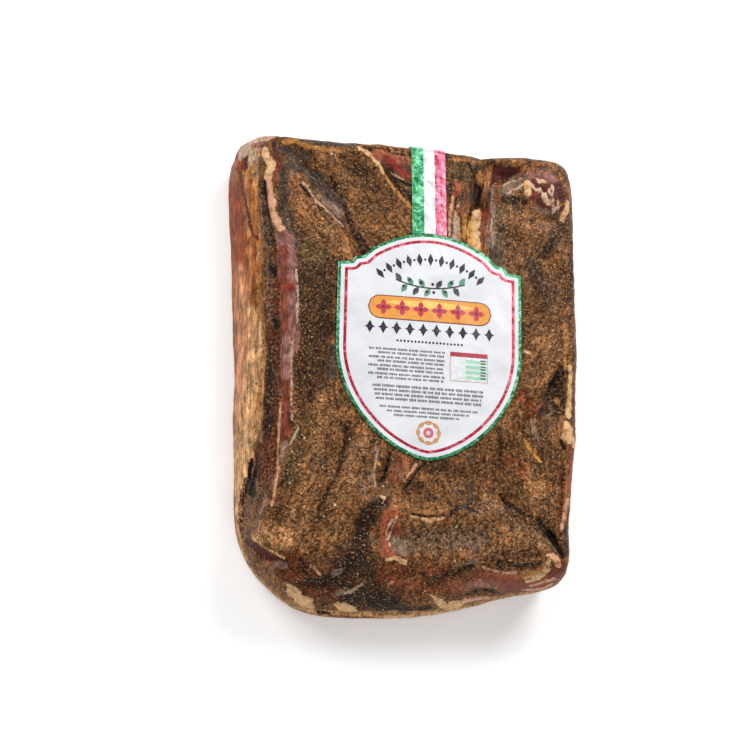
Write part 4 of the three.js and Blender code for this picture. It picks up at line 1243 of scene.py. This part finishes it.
def crumbs(name, places, normals, size, shades):
    """A joined mesh of chips. A chip's size is the middle size times e to a random power, its
    corners are stretched at random, it is turned at random about three axes, and half of its
    height along the normal is taken away."""
    count = len(places)
    sizes = size * np.exp(CHIP_SIZE_SPREAD * random.standard_normal(count)).clip(0.5, 2.0)
    local = CORNERS * random.uniform(0.55, 1.25, (count, 6, 1)) * random.uniform(0.6, 1.2, (count, 1, 3))
    turns = np.linalg.qr(random.standard_normal((count, 3, 3)))[0]
    turns *= np.sign(np.linalg.det(turns))[:, None, None]
    local = np.einsum("nij,nkj->nki", turns, local) * sizes[:, None, None]
    height = np.einsum("nki,ni->nk", local, normals)
    local = local - CHIP_FLATNESS * height[..., None] * normals[:, None, :]
    points = (places - normals * sizes[:, None] * CHIP_SUNK)[:, None, :] + local
    faces = CHIP_FACES[None] + 6 * np.arange(count)[:, None, None]
    palette = linear(np.array(shades))
    tints = palette[random.integers(0, len(shades), count)] * random.uniform(0.8, 1.25, (count, 1))
    piece = add_piece(name, points.reshape(-1, 3), [faces.reshape(-1, 3)], crumb_material, False)
    store(piece, "tint", np.repeat(tints, 6, axis=0))


# %% Scatter the crumbs
n = Nodes("spice crumb")
shade = n.ramp(n.noise(1500.0), [(0.3, 0.75), (0.7, 1.0)])
n.set(n.shader.inputs["Base Color"], n.times(n.colour("tint"), shade))
n.shader.inputs["Roughness"].default_value = 0.5
n.shader.inputs["Specular IOR Level"].default_value = 0.15
crumb_material = n.material

on_show = smooth((flat_points[:, 2] - 12.0) / 6.0) * (flat_points[:, 2] > 18.0)
masked = np.clip(coat["muscle"] + coat["fat"] + coat["slot"], 0.0, 1.0)
weight = free * on_show * coat["spice"] ** 2 * (1.0 - 0.8 * masked)
# number of chips, size in millimetres, colours
CRUMB_KINDS = {
    "pepper_crumbs": (9000, 0.56, [(34, 23, 16), (48, 33, 22), (60, 42, 28)]),
    "brown_crumbs": (12000, 0.58, [(120, 80, 46), (142, 96, 56), (98, 62, 34), (160, 110, 66)]),
    "golden_crumbs": (4200, 0.52, [(186, 134, 78), (202, 152, 94), (170, 116, 64)]),
    "pale_crumbs": (520, 0.62, [(222, 190, 140), (232, 208, 164)]),
}
for name, (count, size, shades) in CRUMB_KINDS.items():
    places, normals = crumb_places(lean_vertices, len(lean_grid), SPOKES, weight, count)
    crumbs(name, places, normals, size, shades)

# %% [markdown]
# ## Clear film
# The block is sealed in a thin clear film that is drawn on by vacuum. It touches the meat
# nearly everywhere and only bridges the narrow cracks. So its shape is the surface itself:
# wherever the mean of a point's neighbours lies further out than the point, the point moves
# out to it, and after some rounds the cracks are spanned. The material is a mix of clear and
# glossy by Fresnel, which is how a thin film looks.

# %% Clear film
FILM_GAP = 0.3
FILM_ROUNDS = 14
FILM_STEP = 2  # every second spoke is enough
FILM_SHINE = 0.13  # share of the mirror light that a soft, dull film keeps


def bridge(grid, normals, rounds):
    """Moves points out along their normals to the mean of their four neighbours, never in."""
    for _ in range(rounds):
        rows = np.concatenate([grid[:1], grid, grid[-1:]])
        mean = (rows[:-2] + rows[2:] + np.roll(grid, 1, 1) + np.roll(grid, -1, 1)) / 4.0
        outward = np.einsum("kji,kji->kj", mean - grid, normals)
        grid = grid + normals * np.maximum(outward, 0.0)[..., None]
    return grid


skin_rows = slice(0, flat_rows + len(foot_rows) + RIND_WALL_ROWS)
film_grid = np.concatenate([lean_points[:-len(dish_rows)], fat_surface[skin_rows][::-1]])[:, ::FILM_STEP]
film_normals = np.concatenate([lean_normals[:-len(dish_rows)], fat_normals[skin_rows][::-1]])[:, ::FILM_STEP]
film_surface = bridge(film_grid, film_normals, FILM_ROUNDS)
film_free = 1.0 - pressed(film_grid[..., 0], film_grid[..., 1]) * (film_grid[..., 2] > 50.0)
film_surface = film_surface + film_normals * (FILM_GAP * (0.4 + 0.6 * film_free))[..., None]
film_surface[..., 2] = np.maximum(film_surface[..., 2], 0.0)
film_top = [[0.0, 0.0, THICKNESS + 0.4 * FILM_GAP]]
film_vertices = np.concatenate([film_top, film_surface.reshape(-1, 3), [[0.0, 0.0, 0.0]]])
n = Nodes("clear film")
creases = n.math("ADD", n.noise(160.0, 2.0, distortion=1.2), n.math("MULTIPLY", n.noise(650.0, 1.0), 0.25))
bump = n.add("ShaderNodeBump", Height=creases, Strength=0.5, Distance=0.0012)
mirror = n.add("ShaderNodeFresnel", IOR=1.4, Normal=bump.outputs["Normal"])
clear = n.add("ShaderNodeBsdfTransparent")
glossy = n.add("ShaderNodeBsdfGlossy", Roughness=0.13, Normal=bump.outputs["Normal"])
both = n.add("ShaderNodeMixShader", Fac=n.math("MULTIPLY", mirror.outputs[0], FILM_SHINE))
n.set(both.inputs[1], clear.outputs[0])
n.set(both.inputs[2], glossy.outputs[0])
n.set(n.tree.nodes["Material Output"].inputs["Surface"], both.outputs[0])
n.tree.nodes.remove(n.shader)
film_faces = closed_faces(len(film_grid), SPOKES // FILM_STEP)
add_piece("clear_film", film_vertices, film_faces, n.material)

# %% [markdown]
# ## Label
# The label is a thin shield of coated paper with foil lines near its edge. It lies on the
# crust and has taken on soft wrinkles. Its outline is worked out once, and rows that shrink towards the middle
# follow it. The foil lines keep one distance from the edge, so that distance is stored on
# the points and the material cuts the lines from it, which keeps them sharp.

# %% Label outline and sheet
SHOULDERS = [(46, 63.5), (52, 62.5), (54, 59), (LABEL_HALF_WIDTH, 58)]
LABEL_GAP, LABEL_THICKNESS = 0.6, 0.5


def label_outline(count):
    """The shield: a parabolic arch, stepped shoulders and a lower half whose width falls as a
    power curve to a tip. Half of it is mirrored, and the points are spaced evenly."""
    arch_x = np.linspace(0.0, ARCH_HALF_WIDTH, 40)
    arch = np.stack([arch_x, ARCH_TOP - (ARCH_TOP - ARCH_END) * (arch_x / ARCH_HALF_WIDTH) ** 2], -1)
    drop = np.sin(np.pi / 2.0 * np.linspace(0.0, 1.0, 90))
    lower = np.stack([LABEL_HALF_WIDTH * (1.0 - drop**2) ** (1.0 / SHIELD_POWER), -LABEL_TIP * drop], -1)
    half = np.concatenate([arch, SHOULDERS, lower])
    whole = np.concatenate([half, half[-2:0:-1] * [-1.0, 1.0], half[:1]])
    travelled = np.concatenate([[0.0], np.cumsum(np.linalg.norm(np.diff(whole, axis=0), axis=1))])
    at = np.linspace(0.0, travelled[-1], count, endpoint=False)
    return np.stack([np.interp(at, travelled, whole[:, 0]), np.interp(at, travelled, whole[:, 1])], -1)


def label_height(across, up):
    """Height of the label's top face over the block: creases of folded noise, |noise| turned
    over so that it makes sharp ridges, in two sizes, and a low swell."""
    points = np.stack([across, up, 0.0 * up], -1)
    slanted = points @ np.array([[0.8, -0.6, 0.0], [0.35, 0.95, 0.0], [0.0, 0.0, 1.0]])
    creases = 1.0 - 2.0 * np.abs(space_noise(slanted, 17.0, 61))
    fine = 1.0 - 2.0 * np.abs(space_noise(slanted, 7.0, 62))
    return 0.17 * creases + 0.08 * fine + 0.2 * space_noise(points, 34.0, 63)


def label_place(local, lift):
    """Label coordinates, in millimetres from its middle, to the block: turned, moved, laid on
    the dome and raised by lift."""
    cosine, sine = math.cos(LABEL_TURN), math.sin(LABEL_TURN)
    x = LABEL_X + cosine * local[..., 0] - sine * local[..., 1]
    y = LABEL_Y + sine * local[..., 0] + cosine * local[..., 1]
    return np.stack([x, y, dome_height(x, y) + lift], -1)


# %% Label mesh
LABEL_POINTS = 760
INNER_ROWS, EDGE_ROWS = 46, 26
FAR_INSIDE = 60.0  # stored at the middle, which is far from every edge
outline = label_outline(LABEL_POINTS)
label_shares = np.concatenate([np.linspace(0.05, 0.8, INNER_ROWS), np.linspace(0.81, 1.0, EDGE_ROWS)])
top_local = label_shares[:, None, None] * outline
edge_distance = along_path(top_local, np.concatenate([outline, outline[:1]]))[0]
wrinkles = label_height(top_local[..., 0], top_local[..., 1])
top_rows = label_place(top_local, LABEL_GAP + LABEL_THICKNESS + wrinkles)
under_local = np.array([1.0, 0.9, 0.5])[:, None, None] * outline
wrinkles = label_height(under_local[..., 0], under_local[..., 1])
label_under = label_place(under_local, LABEL_GAP - 0.1 + wrinkles)
label_grid = np.concatenate([top_rows, label_under])
end_top = label_place(np.zeros(2), LABEL_GAP + LABEL_THICKNESS + label_height(np.zeros(1), np.zeros(1))[0])
end_under = label_place(np.zeros(2), LABEL_GAP - 0.4)
label_vertices = np.concatenate([[end_top], label_grid.reshape(-1, 3), [end_under]])
print("label grid", label_grid.shape[:2], "edge up to", round(float(edge_distance.max()), 1), "mm inside")

# %% Label material
# Foil lines, in millimetres from the edge
GREEN_WIDTH, RED_FROM, RED_TO, LINES_SPAN = 2.1, 4.7, 6.8, 8.0
n = Nodes("label sheet with foil lines")
edge = n.number("edge")
field = n.mix((0.76, 0.77, 0.79), (0.66, 0.67, 0.70), n.ramp(n.noise(45.0, 2.0), [(0.35, 0.0), (0.65, 1.0)]))
# Painted glints and shade: the foil lines' colour runs from dark to pale over this crinkle noise.
crinkle_and_glint = n.noise(230.0, 2.0, distortion=1.5)
green_foil = n.ramp(crinkle_and_glint, [
    (0.36, (0.006, 0.10, 0.03)), (0.5, (0.02, 0.24, 0.09)), (0.64, (0.22, 0.55, 0.36))])
red_foil = n.ramp(crinkle_and_glint, [
    (0.36, (0.32, 0.005, 0.015)), (0.52, (0.48, 0.02, 0.045)), (0.66, (0.70, 0.20, 0.28))])
lines = n.math("DIVIDE", edge, LINES_SPAN)
is_green = n.ramp(lines, [(0.0, 1.0), (GREEN_WIDTH / LINES_SPAN, 0.0)], "CONSTANT")
red_stops = [(0.0, 0.0), (RED_FROM / LINES_SPAN, 1.0), (RED_TO / LINES_SPAN, 0.0)]
is_red = n.ramp(lines, red_stops, "CONSTANT")
colour = n.mix(n.mix(field, green_foil, is_green), red_foil, is_red)
n.set(n.shader.inputs["Base Color"], colour)
n.shader.inputs["Roughness"].default_value = 0.32
n.shader.inputs["Specular IOR Level"].default_value = 0.4
foil = n.math("ADD", is_green, is_red)
n.set(n.shader.inputs["Metallic"], n.math("MULTIPLY", foil, 0.35))
bump = n.add("ShaderNodeBump", Height=n.noise(160.0, 3.0, distortion=0.8), Strength=0.25, Distance=0.0008)
n.set(n.shader.inputs["Normal"], bump.outputs["Normal"])
label_material = n.material
label_faces = closed_faces(len(label_grid), LABEL_POINTS)
label = add_piece("label_sheet", label_vertices, label_faces, label_material)
edge_rows = np.concatenate([edge_distance, np.zeros((3, LABEL_POINTS))]).ravel()
store(label, "edge", np.concatenate([[FAR_INSIDE], edge_rows, [0.0]]))
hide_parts("shield_label")

# %% [markdown]
# ## Print on the label
# The print is plain ornament: an arc of lozenges, a leafy garland, a golden field with
# flowers, rows of fine ticks, a small table and a wreath. Each mark is a strip along a line
# whose half width changes on the way: even for a bar, a sine for a leaf, a circle for a dot.
# The strips lie a hair above the sheet and follow its wrinkles.

# %% Strips and discs
PRINT_LIFT = 0.06
PRINT_STEP = 1.4
FORMS = {
    "bar": lambda t: np.ones_like(t),
    "leaf": lambda t: np.sin(np.pi * t),
    "lozenge": lambda t: 1.0 - np.abs(2.0 * t - 1.0),
    "disc": lambda t: np.sqrt(np.maximum(1.0 - (2.0 * t - 1.0) ** 2, 0.0)),
}
INK, GREY_INK, PLUM_INK, SLATE_INK = (24, 18, 30), (38, 38, 50), (58, 30, 64), (64, 66, 84)
GREEN_INK, PALE_GREEN, PALE_GREY = (84, 150, 118), (160, 214, 184), (228, 232, 234)
GOLD, PALE_GOLD, TAN_INK = (236, 158, 62), (250, 206, 104), (206, 150, 96)
WINE, ROSE, CRIMSON, PINK, BERRY, BLUSH = (
    (128, 36, 52), (200, 46, 74), (176, 40, 58), (206, 120, 136), (214, 96, 116), (240, 214, 206))
print_points, print_quads, print_tints = [], [], []


def strip(path, half_width, colour, form="bar", level=0):
    """A strip along a path in label millimetres: points on both sides of the path at the half
    width times the form's function of the share of its length. level lays one over another."""
    path = np.array(path, float)
    lengths = np.linalg.norm(np.diff(path, axis=0), axis=1)
    travelled = np.concatenate([[0.0], np.cumsum(lengths)])
    steps = max(int(travelled[-1] / PRINT_STEP), 9 if form != "bar" else 2)
    rows = max(int(2.0 * half_width / PRINT_STEP), 1) + 1
    t = np.linspace(0.0, 1.0, steps + 1)
    line = np.stack([np.interp(t * travelled[-1], travelled, path[:, k]) for k in (0, 1)], -1)
    ahead = np.gradient(line, axis=0)
    ahead /= np.linalg.norm(ahead, axis=1, keepdims=True)
    side = np.stack([-ahead[:, 1], ahead[:, 0]], -1)
    across = np.linspace(-half_width, half_width, rows)
    local = line[None] + across[:, None, None] * FORMS[form](t)[None, :, None] * side[None]
    lift = LABEL_GAP + LABEL_THICKNESS + PRINT_LIFT * (1 + level) + label_height(local[..., 0], local[..., 1])
    start = sum(len(p) for p in print_points)
    k, j = np.meshgrid(np.arange(rows - 1), np.arange(steps), indexing="ij")
    at = start + k * (steps + 1) + j
    print_points.append(label_place(local, lift).reshape(-1, 3))
    print_quads.append(np.stack([at, at + 1, at + steps + 2, at + steps + 1], -1).reshape(-1, 4))
    print_tints.append(np.tile(linear(colour), (rows * (steps + 1), 1)))


def disc(x, y, radius, colour, level=0):
    """A round dot: a short strip whose width follows a circle."""
    strip([(x - radius, y), (x + radius, y)], radius, colour, "disc", level)


# %% Arc of lozenges and garland
ARC_RADIUS, ARC_CENTRE = 54.0, np.array([0.0, 10.0])
for k, turn in enumerate(np.radians(np.linspace(130, 50, 21))):
    outward = np.array([math.cos(turn), math.sin(turn)])
    centre = ARC_CENTRE + ARC_RADIUS * outward
    if k % 2 == 0:
        strip([centre - 4.6 * outward, centre + 4.6 * outward], 2.1, INK, "lozenge")
    else:
        disc(*centre, 0.9, INK)
# A curved stem with leaves to either side and berries
stem = [(x, 43.0 + 0.008 * x * x) for x in np.linspace(-24, 24, 13)]
strip(stem, 0.5, INK)
for k, (x, y) in enumerate(stem[1:-1]):
    side = 1 if k % 2 == 0 else -1
    away = 1 if x > 0 else -1
    leaf = GREEN_INK if k % 3 else SLATE_INK
    strip([(x, y), (x + 4.0 * away, y + 6.4 * side)], 1.9, leaf, "leaf")
    disc(x - 1.6 * away, y - 3.0 * side, 1.1, INK, 1)
print(len(print_points), "strips up to the garland")

# %% Golden field, flowers and ornaments
FIELD_Y, FIELD_HALF, FIELD_TALL, FIELD_RIM = 27.0, 34.0, 8.6, 0.7
for x in (-FIELD_HALF, FIELD_HALF):
    disc(x, FIELD_Y, FIELD_TALL, WINE, 0)
    disc(x, FIELD_Y, FIELD_TALL - FIELD_RIM, GOLD, 2)
field_line = [(-FIELD_HALF, FIELD_Y), (FIELD_HALF, FIELD_Y)]
strip(field_line, FIELD_TALL, WINE, "bar", 1)
strip(field_line, FIELD_TALL - FIELD_RIM, GOLD, "bar", 3)
strip([(-FIELD_HALF, FIELD_Y + 3.6), (FIELD_HALF, FIELD_Y + 3.6)], 2.6, PALE_GOLD, "leaf", 4)
PETAL = 5.6
for x in np.linspace(-32, 32, 6):
    for turn in np.radians([0, 90, 180, 270]):
        tip = (x + PETAL * math.cos(turn), FIELD_Y + PETAL * math.sin(turn))
        strip([(x, FIELD_Y), tip], 1.8, ROSE, "leaf", 5)
    disc(x, FIELD_Y, 1.3, WINE, 6)
# A row of dark ornaments, then a row of small dots
for x in np.linspace(-41, 41, 10):
    strip([(x, 7.8), (x, 17.0)], 2.3, INK, "lozenge")
    strip([(x - 3.6, 12.4), (x + 3.6, 12.4)], 1.6, PLUM_INK, "lozenge", 1)
for x in np.linspace(-22, 22, 19):
    disc(x, 3.6, 0.8, INK)
print(len(print_points), "strips up to the row of dots")

# %% Rows of fine ticks
TICK_SPACING, TICK_HALF_WIDTH, GROUP_GAP = 0.95, 0.3, 0.9
tick_draw = np.random.default_rng(11)


def fine_row(left, right, y, tall):
    """Upright ticks of random height with a gap after each group of random length."""
    x = left
    while x < right:
        for _ in range(tick_draw.integers(3, 11)):
            half = tall * tick_draw.uniform(0.35, 0.55)
            strip([(x, y - half), (x, y + half)], TICK_HALF_WIDTH, GREY_INK)
            x += TICK_SPACING
            if x > right:
                break
        x += GROUP_GAP


for k in range(8):
    fine_row(-41.0 + (0, 6)[k % 2], 10.0, -3.0 - 2.7 * k - 0.5 * (k // 2), 1.7)
for k in range(4):
    fine_row(-38.0 + k * 0.8, 37.0 - k * 0.5, -29.0 - 3.0 * k, 1.9)
for k in range(3):
    fine_row(-33.0 + 5 * k, 33.0 - 6 * k, -43.4 - 2.8 * k, 1.6)
print(len(print_points), "strips with the fine rows")

# %% Small table and wreath
TABLE_LEFT, TABLE_RIGHT, TABLE_Y, TABLE_RIM = 14, 40, -12, 0.4
inner_left, inner_right = TABLE_LEFT + TABLE_RIM, TABLE_RIGHT - TABLE_RIM
strip([(TABLE_LEFT, TABLE_Y), (TABLE_RIGHT, TABLE_Y)], 10.4, PINK, "bar")
strip([(inner_left, TABLE_Y), (inner_right, TABLE_Y)], 10.0, PALE_GREY, "bar", 1)
strip([(inner_left, -3.4), (inner_right, -3.4)], 1.5, CRIMSON, "bar", 2)
for k in range(4):
    strip([(24.8, -8.0 - 3.8 * k), (39.2, -8.0 - 3.8 * k)], 1.1, PALE_GREEN, "bar", 2)
for k in range(7):
    y = -6.8 - 2.1 * k
    fine_row(15.4, 15.4 + tick_draw.uniform(5, 12), y, 1.2)
    strip([(35.0, y), (38.6, y)], 0.42, GREY_INK, "bar", 3)
# Leaves in a ring round a red berry
WREATH_Y, WREATH_RADIUS, WREATH_LEAF = -60.0, 7.0, 3.4
for turn in np.radians(np.arange(0, 360, 45)):
    middle = np.array([WREATH_RADIUS * math.cos(turn), WREATH_Y + WREATH_RADIUS * math.sin(turn)])
    along = np.array([-math.sin(turn), math.cos(turn)]) * WREATH_LEAF
    strip([middle - along, middle + along], 1.5, TAN_INK, "leaf")
disc(0, WREATH_Y, 3.6, BERRY, 1)
disc(0, WREATH_Y, 1.5, BLUSH, 2)
print(len(print_points), "strips in all")

# %% Ink and the printed piece
n = Nodes("printing ink")
shade = n.ramp(n.noise(500.0, 2.0), [(0.3, 0.8), (0.7, 1.0)])
n.set(n.shader.inputs["Base Color"], n.times(n.colour("tint"), shade))
n.shader.inputs["Roughness"].default_value = 0.35
ink_points, ink_quads = np.concatenate(print_points), np.concatenate(print_quads)
ink = add_piece("label_ornament", ink_points, [ink_quads], n.material)
store(ink, "tint", np.concatenate(print_tints))

# %% [markdown]
# ## Ribbon
# A ribbon of green, white and red foil runs from the label over the far edge and down the far wall. Its middle
# line follows the block's section. The foil has small dents that catch light and dark, and its colour is
# painted darker and paler over the same crinkles, as painted glints and shade. The stripes are cut in the
# material from the distance across.

# %% Ribbon
RIBBON_GAP, RIBBON_THICKNESS, RIBBON_LOWER_END = 0.6, 0.5, 22.0
ACROSS_STEPS, ALONG_STEPS = 40, 260


def ribbon_section(x):
    """The line that the ribbon follows at one x: over the dome from the label's arch to the
    far rim, then down the wall, found by solving the reach for y a few times."""
    across = x - LABEL_X
    arch = ARCH_TOP - (ARCH_TOP - ARCH_END) * (across / ARCH_HALF_WIDTH) ** 2
    start = LABEL_Y + arch + across * math.tan(LABEL_TURN)

    def on_wall(s):
        y = np.full_like(s, HALF_LENGTH)
        for _ in range(4):
            along = np.stack([np.full_like(y, x), y], -1)
            along /= np.linalg.norm(along, axis=-1, keepdims=True)
            y = np.sqrt(reach(along, s) ** 2 - x**2)
        return y

    rim_y = float(on_wall(np.array([1.0]))[0])
    rim = float(dome_height(x, rim_y))
    face_y = np.linspace(start + 0.4, rim_y, 60)[:-1]
    lowest = (RIBBON_LOWER_END - WIDEST_HEIGHT) / (rim - WIDEST_HEIGHT)
    s = 1.0 + (lowest - 1.0) * np.linspace(0.0, 1.0, 80) ** 2.2
    line = np.concatenate([
        np.stack([face_y, dome_height(x, face_y)], -1),
        np.stack([on_wall(s), WIDEST_HEIGHT + (rim - WIDEST_HEIGHT) * s], -1),
    ])
    travelled = np.concatenate([[0.0], np.cumsum(np.linalg.norm(np.diff(line, axis=0), axis=1))])
    at = np.linspace(0.0, travelled[-1], ALONG_STEPS)
    line = np.stack([np.interp(at, travelled, line[:, k]) for k in (0, 1)], -1)
    ahead = np.gradient(line, axis=0)
    ahead /= np.linalg.norm(ahead, axis=1, keepdims=True)
    return line, np.stack([-ahead[:, 1], ahead[:, 0]], -1), at


shares = np.linspace(-0.5, 0.5, ACROSS_STEPS)
upper, lower = [], []
for share in shares:
    x = RIBBON_X + RIBBON_WIDTH * share
    line, normal, at = ribbon_section(x)
    flat = np.stack([np.full_like(at, x), at, 0.0 * at], -1)
    dents = 0.28 * (1.0 - 2.0 * np.abs(space_noise(flat, 9.0, 71))) + 0.14 * space_noise(flat, 4.0, 72)
    raised = line + normal * (RIBBON_GAP + RIBBON_THICKNESS + dents)[:, None]
    under = line + normal * (RIBBON_GAP - 0.2)
    upper.append(np.stack([np.full_like(at, x), raised[:, 0], raised[:, 1]], -1))
    lower.append(np.stack([np.full_like(at, x), under[:, 0], under[:, 1]], -1))
# Rows run along the ribbon; each goes over the top face and back under it.
section = np.concatenate([np.array(upper), np.array(lower)[::-1]]).transpose(1, 0, 2)
ribbon_vertices = np.concatenate([[section[0].mean(0)], section.reshape(-1, 3), [section[-1].mean(0)]])
crossing = np.tile(np.concatenate([shares, shares[::-1]]) + 0.5, ALONG_STEPS)
print("ribbon grid", section.shape[:2])

# %% Ribbon material
GREEN_PART, WHITE_PART = 0.345, 0.665  # where the stripes end, as shares of the width
n = Nodes("striped foil")
across = n.number("across")
# Painted glints and shade: the foil's colour runs from dark to pale over this crinkle noise, which also makes
# its bump.
crinkle_and_glint = n.noise(170.0, 3.0, distortion=2.0)
green = n.ramp(crinkle_and_glint, [
    (0.36, (0.004, 0.12, 0.02)), (0.46, (0.02, 0.30, 0.10)),
    (0.54, (0.06, 0.42, 0.18)), (0.64, (0.24, 0.58, 0.38))])
red = n.ramp(crinkle_and_glint, [
    (0.36, (0.46, 0.03, 0.07)), (0.46, (0.64, 0.12, 0.21)),
    (0.54, (0.71, 0.17, 0.28)), (0.64, (0.82, 0.32, 0.42))])
white = n.mix((0.75, 0.76, 0.77), (0.67, 0.68, 0.70), n.ramp(n.noise(90.0), [(0.4, 0.0), (0.7, 1.0)]))
stripes = n.mix(n.mix(green, white, n.ramp(across, [(0.0, 0.0), (GREEN_PART, 1.0)], "CONSTANT")),
                red, n.ramp(across, [(0.0, 0.0), (WHITE_PART, 1.0)], "CONSTANT"))
n.set(n.shader.inputs["Base Color"], stripes)
n.shader.inputs["Roughness"].default_value = 0.28
n.shader.inputs["Metallic"].default_value = 0.2
bump = n.add("ShaderNodeBump", Height=crinkle_and_glint, Strength=0.35, Distance=0.001)
n.set(n.shader.inputs["Normal"], bump.outputs["Normal"])
ribbon_faces = closed_faces(ALONG_STEPS, 2 * ACROSS_STEPS)
ribbon = add_piece("foil_ribbon", ribbon_vertices, ribbon_faces, n.material)
store(ribbon, "across", np.concatenate([[0.5], crossing, [0.5]]))
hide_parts("striped_ribbon")
